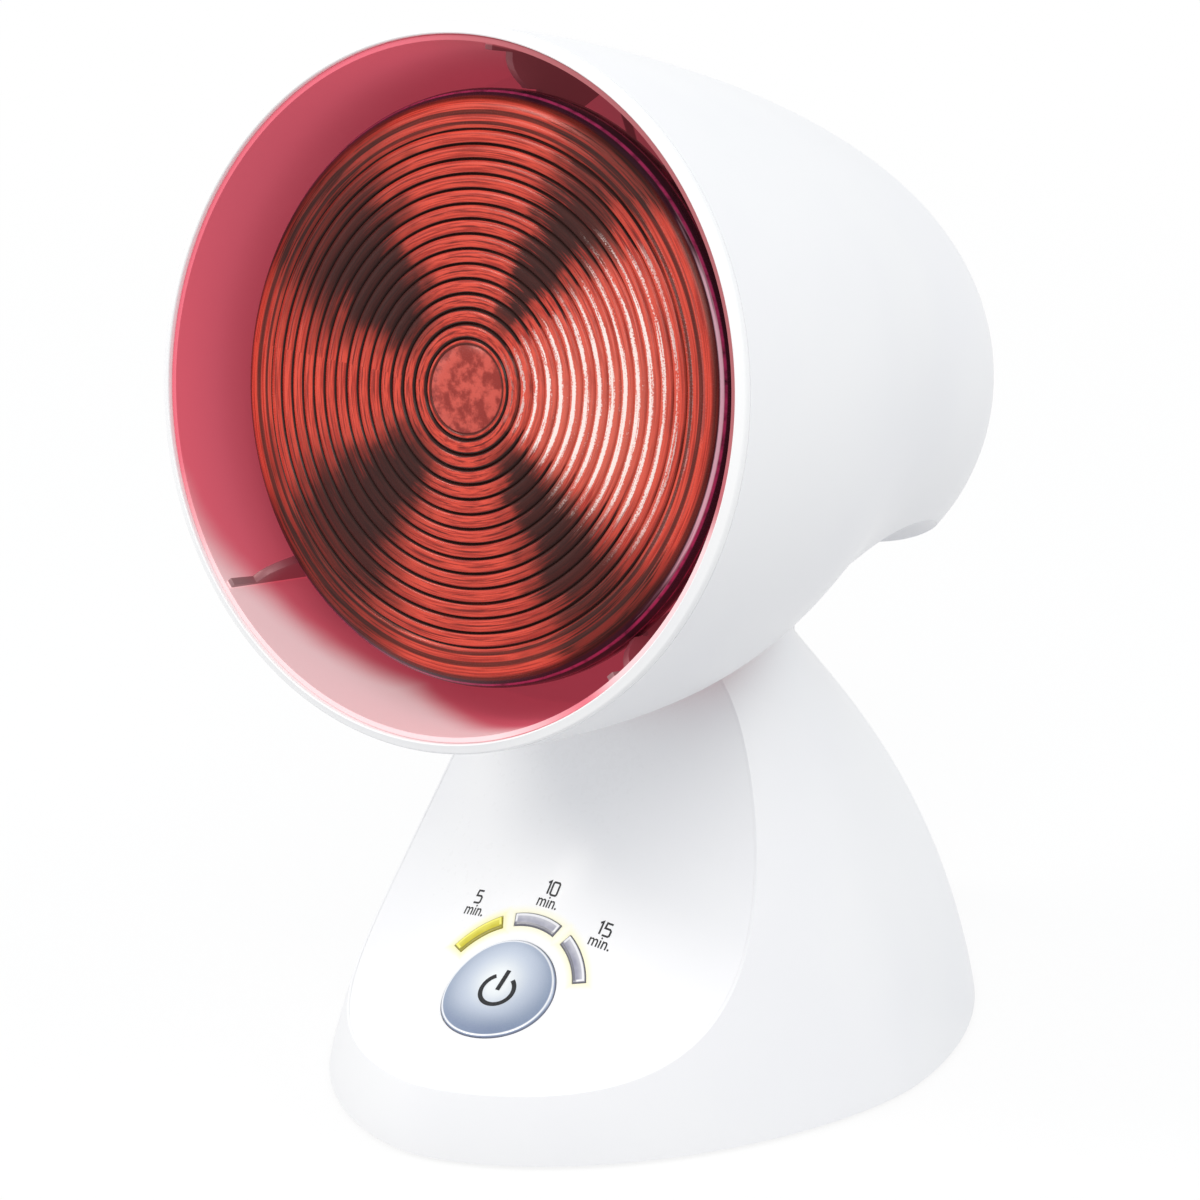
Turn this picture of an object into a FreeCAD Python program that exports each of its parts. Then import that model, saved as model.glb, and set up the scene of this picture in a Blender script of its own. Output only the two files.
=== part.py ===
import FreeCAD, Part
import math
import os

# Infrared heat therapy lamp: a bell-shaped head that tilts on a domed foot.
# Row frame: +X to the lamp's right, the front faces -Y, +Z up, origin on the table under the
# middle of the foot. Lengths are millimetres, angles are degrees.
#
# Head pieces are drawn in the head frame and then placed: its origin is the middle of the mouth,
# x runs to the right, y runs down across the head and z runs back along the lamp's axis.
# Panel pieces are drawn in the panel frame: origin at the button's centre on the panel's surface,
# x to the right, y up the slope and z straight out of the panel.

# ---- foot shell ----
FOOT_HALF_WIDTH = 65.6
FOOT_HALF_DEPTH = 87.5
FOOT_SQUARENESS = 1.76
NECK_HALF_WIDTH = 33.0
NECK_HALF_DEPTH = 22.7
NECK_HEIGHT = 92.0
NECK_SHIFT = 1.7
DOME_WIDTH_CURVE = 1.05
DOME_DEPTH_CURVE = 1.82
NECK_TOP = NECK_HEIGHT + 7.5
FOOT_WALL = 2.4
FOOT_CLEARANCE = 0.8

# ---- control panel ----
PANEL_BUTTON_Y = 30.8 - FOOT_HALF_DEPTH
PANEL_BUTTON_Z = 26.4
PANEL_SLOPE = 33.0
PANEL_CROWN_RADIUS = 114.0
PANEL_SWEEP_RADIUS = 77.4
PANEL_THICKNESS = 2.2
PANEL_LIP = 0.9
PANEL_GAP = 0.15
LEDGE_WIDTH = 4.0
LEDGE_THICKNESS = 1.8

# ---- power button and its switch ----
BUTTON_RADIUS = 12.8
BUTTON_CLEARANCE = 0.25
BUTTON_PROUD = 0.6
BUTTON_TRAVEL = 1.2
BUTTON_SKIRT = 3.4
BUTTON_FLANGE = 1.4
BUTTON_FLANGE_THICKNESS = 1.2
STEM_RADIUS = 2.2
BOARD_DEPTH = 12.5
SWITCH_SIDE = 6.0
SWITCH_HEIGHT = 4.6
PLUNGER_RADIUS = 1.7
PLUNGER_HEIGHT = 1.6
PLUNGER_CLEARANCE = 0.06

# ---- timer windows and lamps behind them ----
WINDOW_RADIUS = 17.6
WINDOW_WIDTH = 3.4
WINDOW_SPAN = 37.0
WINDOW_PITCH = 46.0
WINDOW_PROUD = 0.25
WINDOW_DEPTH = 4.2
WINDOW_GAP = 0.1
LED_SIZE = 2.8
LED_HEIGHT = 1.9

# ---- timer board ----
BOARD_HALF_WIDTH = 21.5
BOARD_LOW = 12.5
BOARD_HIGH = 27.0
BOARD_THICKNESS = 1.6
BOARD_SCREW_X = 17.5
BOARD_SCREW_LOW = 8.5
BOARD_SCREW_HIGH = 23.0
BOARD_BOSS_RADIUS = 2.8
BOARD_SCREW_RADIUS = 1.1
BOARD_SCREW_HEAD_RADIUS = 2.4
BOARD_SCREW_HEAD = 1.5
BOARD_SCREW_BITE = 6.0
RELAY_LENGTH = 19.0
RELAY_WIDTH = 15.0
RELAY_HEIGHT = 14.0
CAPACITOR_LENGTH = 17.5
CAPACITOR_WIDTH = 6.0
CAPACITOR_HEIGHT = 11.5

# ---- base plate, feet and their screws ----
PLATE_BOTTOM = 2.2
PLATE_THICKNESS = 2.4
PLATE_GAP = 0.3
POST_X = FOOT_HALF_WIDTH - 27.6
POST_FRONT_Y = 51.5 - FOOT_HALF_DEPTH
POST_REAR_Y = FOOT_HALF_DEPTH - 43.5
POST_RADIUS = 4.4
POST_SEAT = 6.8
BASE_SCREW_RADIUS = 1.6
BASE_SCREW_HEAD_RADIUS = 3.2
BASE_SCREW_HEAD = 1.8
BASE_SCREW_LENGTH = 12.0
PAD_RADIUS = 7.0
PAD_RECESS = 1.0
PAD_X = FOOT_HALF_WIDTH - 35.6
PAD_FRONT_Y = 29.5 - FOOT_HALF_DEPTH
PAD_REAR_Y = FOOT_HALF_DEPTH - 27.5

# ---- terminal block and inlet bush ----
TERMINAL_LENGTH = 30.0
TERMINAL_WIDTH = 16.0
TERMINAL_HEIGHT = 13.0
TERMINAL_Y = FOOT_HALF_DEPTH - 53.5
INLET_HEIGHT = 15.0
INLET_BODY_RADIUS = 5.4
INLET_BORE_RADIUS = 3.3
INLET_FLANGE_RADIUS = 7.6
INLET_FLANGE = 1.6

# ---- tilt hinge ----
HINGE_Y = 12.0
HINGE_Z = NECK_TOP + 10.5
BARREL_RADIUS = 8.0
BARREL_HALF_LENGTH = 21.5
BARREL_WEB_HALF_DEPTH = 8.0
BARREL_ROOT = NECK_HEIGHT
BOLT_RADIUS = 3.0
BOLT_CLEARANCE = 0.06
BOLT_HEAD_FLATS = 10.0
BOLT_HEAD = 3.2
NUT_HEIGHT = 4.0
WASHER_RADIUS = 7.0
WASHER_THICKNESS = 0.8
SIDE_GAP = 0.1
CHEEK_THICKNESS = 1.6
CHEEK_RADIUS = 7.6
DETENT_RADIUS = 8.0
DETENT_THICKNESS = 2.0
DETENT_STEP = 9.0
DETENT_STOPS = 5
DETENT_REST = 1
DETENT_NOTCH_RADIUS = 0.42
DETENT_SPRING_THICKNESS = 0.5
DETENT_SPRING_LIFT = 0.3
DETENT_RIVET_RADIUS = 1.0

# ---- bulb: a PAR38 reflector lamp, which sets the size of the head ----
BULB_RADIUS = 60.5
BULB_FLANGE_STATION = 16.1
LENS_RADIUS = BULB_RADIUS - 3.5
LENS_EDGE_HEIGHT = 5.7
LENS_CROWN = 2.8
LENS_THICKNESS = 4.2
GROOVE_COUNT = 13
GROOVE_FIRST_RADIUS = 13.2
GROOVE_PITCH = 3.0
GROOVE_HALF_WIDTH = 0.4
GROOVE_DEPTH = 0.5
REFLECTOR_VERTEX = BULB_FLANGE_STATION + 75.9
REFLECTOR_WALL = 1.6
REFLECTOR_EDGE = 0.45
REFLECTOR_RIM = 3.0
BULB_NECK_RADIUS = 18.4
BULB_NECK_END = REFLECTOR_VERTEX + 12.0
CAP_SKIRT_THICKNESS = 0.7
CAP_SKIRT_START = BULB_NECK_END - 6.0
CAP_RADIUS = 13.1
CAP_START = BULB_NECK_END + 15.0
CAP_LENGTH = 22.5
CAP_WALL = 0.6
CAP_TIP_RADIUS = 4.8
CAP_TIP_LENGTH = 1.9
CAP_INSULATOR_LENGTH = 3.0
FILAMENT_STATION = REFLECTOR_VERTEX - 26.0
FILAMENT_RADIUS = 8.0
FILAMENT_WIRE = 0.9
FILAMENT_ARC = 300.0
STEM_STATION = BULB_NECK_END - 22.0
STEM_TIP_RADIUS = 5.0
LEAD_IN_RADIUS = 0.7

# ---- lampholder ----
HOLDER_RADIUS = CAP_RADIUS + 5.4
HOLDER_COLLAR_RADIUS = HOLDER_RADIUS + 1.1
HOLDER_COLLAR = 4.0
HOLDER_START = CAP_START - 2.0
HOLDER_FLOOR = 4.0
SCREW_SHELL_THICKNESS = 0.5
SCREW_SHELL_GAP = 0.25
CONTACT_THICKNESS = 1.4
HOLDER_BORE_END = CAP_START + CAP_LENGTH + CAP_INSULATOR_LENGTH + CAP_TIP_LENGTH + CONTACT_THICKNESS
HOLDER_END = HOLDER_BORE_END + HOLDER_FLOOR
BRACKET_THICKNESS = 1.2
BRACKET_WIDTH = 14.0
BRACKET_GAP = 1.0
BRACKET_EAR_X = HOLDER_COLLAR_RADIUS + 7.7
BRACKET_EAR_STATION = HOLDER_END - 5.8
BRACKET_EAR_RADIUS = 3.6
HOLDER_SCREW_X = 9.0
HOLDER_SCREW_RADIUS = 1.6
HOLDER_SCREW_HEAD_RADIUS = 2.9
HOLDER_SCREW_HEAD = 2.0
EAR_SCREW_BITE = 5.0

# ---- head: bell and mouth ----
HEAD_TILT = 12.24
HINGE_BACK = 94.5
HINGE_DROP = 32.5
MOUTH_AIR = 10.3
RING_WIDTH = 2.2
RIM_RADIUS = BULB_RADIUS + MOUTH_AIR + RING_WIDTH
BELL_LENGTH = HOLDER_END + 7.2
BELL_LONG_CURVE = 1.5
BELL_ROUND_CURVE = 3.33
BELL_WALL = 2.0
BELL_SECTIONS = 13
BELL_LIFT = 5.5
BELL_LIFT_STATION = HINGE_BACK + 3.5
BELL_LIFT_SPAN = 30.0
RING_DEPTH = 2.0
RING_NOSE = 0.7
RING_TONGUE_LENGTH = 2.8
RING_TONGUE_THICKNESS = 1.0
FIT_GAP = 0.1

# ---- head: scoop and slot for the neck ----
SCOOP_RADIUS = 38.0
SCOOP_DROP = HINGE_DROP + 28.7
SCOOP_STATION = HINGE_BACK + 25.5
SLOT_HALF_WIDTH = 32.5
SLOT_FRONT = HINGE_BACK - 30.5
SLOT_REAR = HINGE_BACK + 15.5
SLOT_CORNER = 6.0

# ---- head: hinge brackets ----
HINGE_FLANGE_REAR = SCOOP_STATION + 8.0
HINGE_FLANGE_FRONT = SCOOP_STATION - 9.0
HINGE_FLANGE_INNER_X = 13.5
HINGE_FLANGE_OVER_SCOOP = 1.2
HINGE_SCREW_X = HINGE_FLANGE_INNER_X + 4.0
HINGE_SCREW_FRONT = HINGE_FLANGE_FRONT + 3.8
HINGE_SCREW_REAR = HINGE_FLANGE_REAR - 4.0
HINGE_BOSS_RADIUS = 3.2
HINGE_SCREW_RADIUS = 1.5
HINGE_SCREW_HEAD_RADIUS = 2.7
HINGE_SCREW_HEAD = 1.6
HINGE_SCREW_BITE = 2.6

# ---- head: inner shade and heat shield ----
LINER_THICKNESS = 1.0
LINER_START = 0.3
LINER_FLANGE = 0.8
LINER_FIT = 0.2
LINER_TAPER = 4.2
LINER_REAR = 44.0
LINER_THROAT_GAP = 7.3
LINER_THROAT = 58.0
FIN_ANGLES = (-90.0, 45.0, 135.0)
FIN_THICKNESS = 1.8
FIN_GAP = 0.4
FIN_RIB = 0.8
FIN_STEP_STATION = 8.0
FIN_SLOPE_STATION = 31.0
SHIELD_THICKNESS = 0.8
SHIELD_GAP = 0.3
SHIELD_NOTCH_HALF_WIDTH = 28.0
SHIELD_NOTCH_TOP = 12.5

# ---- rear vents ----
VENT_COUNT = 5
VENT_PITCH = 6.5
VENT_WIDTH = 2.4
VENT_HEIGHT = 18.0

FAR = 200.0

# ---- places worked out from the sizes above ----
PANEL_ORIGIN = FreeCAD.Vector(0, PANEL_BUTTON_Y, PANEL_BUTTON_Z)
PANEL_PLACE = FreeCAD.Placement(PANEL_ORIGIN, FreeCAD.Rotation(FreeCAD.Vector(1, 0, 0), PANEL_SLOPE))
HEAD_TURN = FreeCAD.Rotation(FreeCAD.Vector(1, 0, 0), -(90 + HEAD_TILT))
HINGE_POINT = FreeCAD.Vector(0, HINGE_Y, HINGE_Z)
MOUTH_POINT = HINGE_POINT - HEAD_TURN.multVec(FreeCAD.Vector(0, HINGE_DROP, HINGE_BACK))
HEAD_PLACE = FreeCAD.Placement(MOUTH_POINT, HEAD_TURN)

BUTTON_UNDERSIDE = PANEL_THICKNESS + BUTTON_SKIRT
PLUNGER_TOP = BOARD_DEPTH - SWITCH_HEIGHT - PLUNGER_HEIGHT
RING_INNER_RADIUS = RIM_RADIUS - RING_WIDTH
LINER_FRONT_RADIUS = RING_INNER_RADIUS - LINER_FIT
LINER_REAR_RADIUS = LINER_FRONT_RADIUS - LINER_TAPER
TONGUE_OUTER_RADIUS = RING_INNER_RADIUS + RING_TONGUE_THICKNESS
CHEEK_INNER_X = BARREL_HALF_LENGTH + SIDE_GAP + WASHER_THICKNESS + SIDE_GAP
CHEEK_OUTER_X = CHEEK_INNER_X + CHEEK_THICKNESS
DETENT_X = CHEEK_OUTER_X + 2 * SIDE_GAP
LINER_SEAT = RING_DEPTH + RING_TONGUE_LENGTH + LINER_FLANGE
FLANGE_SEAT_DROP = SCOOP_DROP - SCOOP_RADIUS - BELL_WALL - HINGE_FLANGE_OVER_SCOOP
DETENT_TAB_STATION = HINGE_FLANGE_FRONT + 6.0
DETENT_TAB_DROP = FLANGE_SEAT_DROP - 3.0
CHEEK_TAB_DROP = DETENT_TAB_DROP - 2.5
REFLECTOR_FOCAL = ((BULB_RADIUS - REFLECTOR_WALL - REFLECTOR_EDGE) ** 2
                   / (4 * (REFLECTOR_VERTEX - BULB_FLANGE_STATION)))
CAP_END = CAP_START + CAP_LENGTH
CAP_TIP_END = CAP_END + CAP_INSULATOR_LENGTH + CAP_TIP_LENGTH
HOLDER_BORE_RADIUS = CAP_RADIUS + SCREW_SHELL_GAP + SCREW_SHELL_THICKNESS + FIT_GAP
PLATE_TOP = PLATE_BOTTOM + PLATE_THICKNESS


# ---------------------------------------------------------------- helpers

def vec(x, y, z):
    return FreeCAD.Vector(x, y, z)


def placed(shape, placement):
    """Return a copy of the shape, moved from its own frame into the row frame."""
    moved = shape.copy()
    moved.transformShape(placement.toMatrix())
    return moved


def box(x_range, y_range, z_range):
    """Block between two corners, given as a low and a high value for each axis."""
    size = [high - low for low, high in (x_range, y_range, z_range)]
    return Part.makeBox(*size, vec(x_range[0], y_range[0], z_range[0]))


def rod(radius, start, end):
    """Cylinder between two points."""
    return Part.makeCylinder(radius, (end - start).Length, start, end - start)


def closed_wire(points):
    return Part.makePolygon(points + [points[0]])


def turned(edges):
    """Turn a closed chain of edges in the XZ plane about the head's axis."""
    face = Part.Face(Part.Wire(edges))
    return face.revolve(vec(0, 0, 0), vec(0, 0, 1), 360)


def turned_polygon(points):
    """Turn a closed outline, given as (radius, station) pairs, about the head's axis."""
    outline = [vec(radius, 0, station) for radius, station in points]
    return turned(closed_wire(outline).Edges)


def curve_edge(points):
    curve = Part.BSplineCurve()
    curve.interpolate(points)
    return curve.toShape()


def dome_arc(radius, height, apex):
    """Arc in the XZ plane from the axis at apex out to a radius, centred on the axis."""
    sphere = (radius ** 2 + height ** 2) / (2 * height)
    half = math.asin(radius / sphere) / 2
    middle = vec(sphere * math.sin(half), 0, apex + sphere * (1 - math.cos(half)))
    return Part.Arc(vec(0, 0, apex), middle, vec(radius, 0, apex + height)).toShape()


def group(shapes):
    return Part.Compound(shapes)


def mirrored(shape):
    """Copy of a shape on the lamp's other side."""
    return shape.mirror(vec(0, 0, 0), vec(1, 0, 0))


# ---------------------------------------------------------------- forms of the foot

def foot_section(height, inset):
    """Closed superellipse of the dome at one height, moved inwards by inset."""
    share = max(height, 0) / NECK_HEIGHT
    half_width = FOOT_HALF_WIDTH - (FOOT_HALF_WIDTH - NECK_HALF_WIDTH) * share ** DOME_WIDTH_CURVE - inset
    half_depth = FOOT_HALF_DEPTH - (FOOT_HALF_DEPTH - NECK_HALF_DEPTH) * share ** DOME_DEPTH_CURVE - inset
    points = []
    for step in range(32):
        angle = 2 * math.pi * step / 32
        across = math.copysign(abs(math.cos(angle)) ** (2 / FOOT_SQUARENESS), math.cos(angle))
        along = math.copysign(abs(math.sin(angle)) ** (2 / FOOT_SQUARENESS), math.sin(angle))
        points.append(vec(half_width * across, half_depth * along + NECK_SHIFT * share, height))
    curve = Part.BSplineCurve()
    curve.interpolate(points, PeriodicFlag=True)
    return Part.Wire([curve.toShape()])


def dome(inset, top, bottom=0.0):
    """Solid dome of the foot between two heights, moved inwards by inset."""
    count = 8
    heights = [bottom + (top - bottom) * step / count for step in range(count + 1)]
    return Part.makeLoft([foot_section(height, inset) for height in heights], True, False)


def above_panel(depth):
    """Everything on the outer side of the panel's surface, lowered by depth.

    The surface is a saddle: crowned across the lamp, hollow up the slope. A parabola swept
    along a parabola is exactly a Bezier patch with three rows of three poles.
    """
    half_across, low, high = 90.0, -60.0, 115.0
    patch = Part.BezierSurface()
    patch.increase(2, 2)
    columns = ((-half_across, -half_across ** 2), (0.0, half_across ** 2), (half_across, -half_across ** 2))
    rows = ((low, low ** 2), ((low + high) / 2, low * high), (high, high ** 2))
    for i, (x, x_term) in enumerate(columns):
        for j, (y, y_term) in enumerate(rows):
            z = x_term / (2 * PANEL_CROWN_RADIUS) + y_term / (2 * PANEL_SWEEP_RADIUS) - depth
            patch.setPole(i + 1, j + 1, vec(x, y, z))
    solid = patch.toShape().extrude(vec(0, 0, FAR))
    return placed(solid, PANEL_PLACE)


def panel_pocket(inset, depth):
    """What the panel's recess takes out of the dome: inside inset and above depth."""
    return dome(inset, NECK_TOP - inset, -1.0).common(above_panel(depth))


def around_button(radius, outer_height, inner_depth):
    """Cylinder through the button's centre, square to the panel."""
    shape = rod(radius, vec(0, 0, -inner_depth), vec(0, 0, outer_height))
    return placed(shape, PANEL_PLACE)


# ---------------------------------------------------------------- foot pieces

def foot_posts():
    """Screw posts for the base plate, grown down from the dome."""
    inside = dome(FOOT_WALL / 2, NECK_TOP - FOOT_WALL, FOOT_CLEARANCE).cut(above_panel(PANEL_THICKNESS))
    posts = []
    for x in (-POST_X, POST_X):
        for y in (POST_FRONT_Y, POST_REAR_Y):
            post = rod(POST_RADIUS, vec(x, y, POST_SEAT), vec(x, y, NECK_HEIGHT)).common(inside)
            pilot = rod(BASE_SCREW_RADIUS + FIT_GAP, vec(x, y, 0), vec(x, y, POST_SEAT + BASE_SCREW_LENGTH))
            posts.append(post.cut(pilot))
    return posts


def foot_shell():
    """Dome with an open underside, the panel's ledge and the neck's pivot barrel."""
    hollow = dome(FOOT_WALL, NECK_TOP - FOOT_WALL, -1.0)
    shell = dome(0, NECK_TOP, FOOT_CLEARANCE).cut(hollow)
    ledge = dome(PANEL_LIP, NECK_TOP - FOOT_WALL, FOOT_CLEARANCE)
    ledge = ledge.cut(dome(FOOT_WALL + LEDGE_WIDTH, NECK_TOP - FOOT_WALL - LEDGE_WIDTH, 0))
    ledge = ledge.common(above_panel(PANEL_THICKNESS + LEDGE_THICKNESS))
    shell = shell.fuse([ledge] + foot_posts())
    shell = shell.cut(above_panel(0)).cut(panel_pocket(PANEL_LIP, PANEL_THICKNESS))
    web = box((-BARREL_HALF_LENGTH, BARREL_HALF_LENGTH),
              (HINGE_Y - BARREL_WEB_HALF_DEPTH, HINGE_Y + BARREL_WEB_HALF_DEPTH),
              (BARREL_ROOT, HINGE_Z))
    barrel = rod(BARREL_RADIUS, vec(-BARREL_HALF_LENGTH, HINGE_Y, HINGE_Z),
                 vec(BARREL_HALF_LENGTH, HINGE_Y, HINGE_Z))
    shell = shell.fuse([web, barrel])
    bolt_hole = rod(BOLT_RADIUS + BOLT_CLEARANCE, vec(-FAR, HINGE_Y, HINGE_Z), vec(FAR, HINGE_Y, HINGE_Z))
    inlet_hole = rod(INLET_BODY_RADIUS + FIT_GAP / 2, vec(0, FOOT_HALF_DEPTH / 2, INLET_HEIGHT),
                     vec(0, FAR, INLET_HEIGHT))
    return shell.cut([bolt_hole, inlet_hole]).removeSplitter()


def window_sector(grow, outer_height, inner_depth, angle):
    """Arc-shaped block square to the panel, centred on the button at the given angle."""
    radii = (WINDOW_RADIUS - WINDOW_WIDTH / 2 - grow, WINDOW_RADIUS + WINDOW_WIDTH / 2 + grow)
    half_span = math.radians(WINDOW_SPAN / 2) + grow / WINDOW_RADIUS
    turn = math.radians(angle)

    def at(radius, offset):
        return vec(radius * math.cos(turn + offset), radius * math.sin(turn + offset), -inner_depth)

    inner = Part.Arc(at(radii[0], -half_span), at(radii[0], 0), at(radii[0], half_span)).toShape()
    outer = Part.Arc(at(radii[1], half_span), at(radii[1], 0), at(radii[1], -half_span)).toShape()
    side_a = Part.makeLine(at(radii[0], half_span), at(radii[1], half_span))
    side_b = Part.makeLine(at(radii[1], -half_span), at(radii[0], -half_span))
    face = Part.Face(Part.Wire([inner, side_a, outer, side_b]))
    return placed(face.extrude(vec(0, 0, inner_depth + outer_height)), PANEL_PLACE)


def window_angles():
    return [90 + WINDOW_PITCH, 90, 90 - WINDOW_PITCH]


def timer_window(angle):
    """Light window, flush with the saddle and a little proud of it."""
    block = window_sector(0, BOARD_DEPTH, WINDOW_DEPTH, angle)
    return block.cut(above_panel(-WINDOW_PROUD))


def board_screw_places():
    return [(x, y) for x in (-BOARD_SCREW_X, BOARD_SCREW_X) for y in (-BOARD_SCREW_LOW, BOARD_SCREW_HIGH)]


def control_panel():
    """Saddle-shaped insert with the button's hole, window slots and board bosses."""
    inset = PANEL_LIP + PANEL_GAP
    blank = dome(inset, NECK_TOP - FOOT_WALL, 0)
    plate = blank.common(above_panel(PANEL_THICKNESS)).cut(above_panel(0))
    below_skin = above_panel(PANEL_THICKNESS / 2)
    bosses = []
    for x, y in board_screw_places():
        boss = placed(rod(BOARD_BOSS_RADIUS, vec(x, y, -BOARD_DEPTH), vec(x, y, BOARD_DEPTH)), PANEL_PLACE)
        bosses.append(boss.cut(below_skin))
    panel = plate.fuse(bosses)
    cuts = [around_button(BUTTON_RADIUS + BUTTON_CLEARANCE, BOARD_DEPTH, BOARD_DEPTH)]
    cuts += [window_sector(WINDOW_GAP, BOARD_DEPTH, BOARD_DEPTH, angle) for angle in window_angles()]
    for x, y in board_screw_places():
        pilot = rod(BOARD_SCREW_RADIUS + FIT_GAP, vec(x, y, -FAR), vec(x, y, -BOARD_DEPTH + BOARD_SCREW_BITE))
        cuts.append(placed(pilot, PANEL_PLACE))
    return panel.cut(cuts).removeSplitter()


def power_button():
    """Round cap that follows the panel's saddle, with a holding flange and a stem."""
    cap = around_button(BUTTON_RADIUS, BOARD_DEPTH, BUTTON_UNDERSIDE).cut(above_panel(-BUTTON_PROUD))
    well = around_button(BUTTON_RADIUS - 2 * BUTTON_FLANGE_THICKNESS, -BUTTON_FLANGE_THICKNESS - 1,
                         BUTTON_UNDERSIDE + 1)
    flange = rod(BUTTON_RADIUS + BUTTON_FLANGE, vec(0, 0, -BUTTON_UNDERSIDE),
                 vec(0, 0, -BUTTON_UNDERSIDE + BUTTON_FLANGE_THICKNESS))
    stem = rod(STEM_RADIUS, vec(0, 0, -PLUNGER_TOP), vec(0, 0, -BUTTON_FLANGE_THICKNESS))
    button = cap.fuse(placed(flange, PANEL_PLACE)).cut(well)
    return button.fuse(placed(stem, PANEL_PLACE)).removeSplitter()


def tact_switch():
    """Square switch body with the blind hole that its plunger slides in."""
    half = SWITCH_SIDE / 2
    top = -BOARD_DEPTH + SWITCH_HEIGHT
    body = box((-half, half), (-half, half), (-BOARD_DEPTH, top))
    hole = rod(PLUNGER_RADIUS + PLUNGER_CLEARANCE, vec(0, 0, top - PLUNGER_HEIGHT - BUTTON_TRAVEL),
               vec(0, 0, top + 1))
    return placed(body.cut(hole), PANEL_PLACE)


def switch_plunger():
    top = -PLUNGER_TOP
    shape = rod(PLUNGER_RADIUS, vec(0, 0, top - 2 * PLUNGER_HEIGHT + SIDE_GAP), vec(0, 0, top))
    return placed(shape, PANEL_PLACE)


def circuit_board():
    board = box((-BOARD_HALF_WIDTH, BOARD_HALF_WIDTH), (-BOARD_LOW, BOARD_HIGH),
                (-BOARD_DEPTH - BOARD_THICKNESS, -BOARD_DEPTH))
    holes = [rod(BOARD_SCREW_RADIUS + FIT_GAP, vec(x, y, -FAR), vec(x, y, 0)) for x, y in board_screw_places()]
    return placed(board.cut(holes), PANEL_PLACE)


def board_screws():
    screws = []
    seat = -BOARD_DEPTH - BOARD_THICKNESS
    for x, y in board_screw_places():
        head = rod(BOARD_SCREW_HEAD_RADIUS, vec(x, y, seat - BOARD_SCREW_HEAD), vec(x, y, seat))
        shank = rod(BOARD_SCREW_RADIUS, vec(x, y, seat), vec(x, y, -BOARD_DEPTH + BOARD_SCREW_BITE - SIDE_GAP))
        screws.append(placed(head.fuse(shank), PANEL_PLACE))
    return group(screws)


def indicator_leds():
    """One small lamp on the board below each window."""
    leds = []
    half = LED_SIZE / 2
    for angle in window_angles():
        turn = math.radians(angle)
        x, y = WINDOW_RADIUS * math.cos(turn), WINDOW_RADIUS * math.sin(turn)
        led = box((x - half, x + half), (y - half, y + half), (-BOARD_DEPTH, -BOARD_DEPTH + LED_HEIGHT))
        leds.append(placed(led, PANEL_PLACE))
    return group(leds)


def board_underside_block(x_middle, y_low, length, width, height, corner):
    """Component that hangs from the underside of the board, with rounded long edges."""
    top = -BOARD_DEPTH - BOARD_THICKNESS
    block = box((x_middle - length / 2, x_middle + length / 2), (y_low, y_low + width), (top - height, top))
    long_edges = [edge for edge in block.Edges
                  if edge.BoundBox.XLength > length / 2 and edge.BoundBox.ZMax < top - height / 2]
    return placed(block.makeFillet(corner, long_edges), PANEL_PLACE)


def relay():
    return board_underside_block(-BOARD_HALF_WIDTH + RELAY_LENGTH / 2 + 1, 4.0, RELAY_LENGTH, RELAY_WIDTH,
                                 RELAY_HEIGHT, 0.6)


def film_capacitor():
    return board_underside_block(BOARD_HALF_WIDTH - CAPACITOR_LENGTH / 2 - 1, 8.0, CAPACITOR_LENGTH,
                                 CAPACITOR_WIDTH, CAPACITOR_HEIGHT, 1.2)


def post_places():
    return [(x, y) for x in (-POST_X, POST_X) for y in (POST_FRONT_Y, POST_REAR_Y)]


def pad_places():
    return [(x, y) for x in (-PAD_X, PAD_X) for y in (PAD_FRONT_Y, PAD_REAR_Y)]


def base_plate():
    """Bottom cover with raised screw seats, pad recesses and a stiffening rib."""
    inset = FOOT_WALL + PLATE_GAP
    plate = dome(inset, NECK_HEIGHT, PLATE_BOTTOM).common(box((-FAR, FAR), (-FAR, FAR), (0, PLATE_TOP)))
    rim_hollow = dome(inset + FOOT_WALL, NECK_HEIGHT, 0)
    rim = dome(inset, NECK_HEIGHT, PLATE_TOP).cut(rim_hollow)
    rim = rim.common(box((-FAR, FAR), (-FAR, FAR), (PLATE_TOP, POST_SEAT)))
    seats = [rod(POST_RADIUS, vec(x, y, PLATE_TOP), vec(x, y, POST_SEAT)) for x, y in post_places()]
    plate = plate.fuse([rim] + seats)
    cuts = []
    for x, y in post_places():
        cuts.append(rod(BASE_SCREW_RADIUS + FIT_GAP, vec(x, y, 0), vec(x, y, POST_SEAT)))
        cuts.append(rod(BASE_SCREW_HEAD_RADIUS + FIT_GAP, vec(x, y, 0),
                        vec(x, y, PLATE_BOTTOM + BASE_SCREW_HEAD)))
    for x, y in pad_places():
        cuts.append(rod(PAD_RADIUS + FIT_GAP, vec(x, y, 0), vec(x, y, PLATE_BOTTOM + PAD_RECESS)))
    return plate.cut(cuts).removeSplitter()


def base_screws():
    screws = []
    for x, y in post_places():
        seat = PLATE_BOTTOM + BASE_SCREW_HEAD
        head = rod(BASE_SCREW_HEAD_RADIUS, vec(x, y, PLATE_BOTTOM), vec(x, y, seat))
        shank = rod(BASE_SCREW_RADIUS, vec(x, y, seat), vec(x, y, POST_SEAT + BASE_SCREW_LENGTH - 1))
        screws.append(head.fuse(shank))
    return group(screws)


def rubber_feet():
    feet = []
    for x, y in pad_places():
        pad = rod(PAD_RADIUS, vec(x, y, 0), vec(x, y, PLATE_BOTTOM + PAD_RECESS))
        lower = [edge for edge in pad.Edges if edge.BoundBox.ZMax < PAD_RECESS / 2]
        feet.append(pad.makeChamfer(PAD_RECESS / 2, lower))
    return group(feet)


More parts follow.
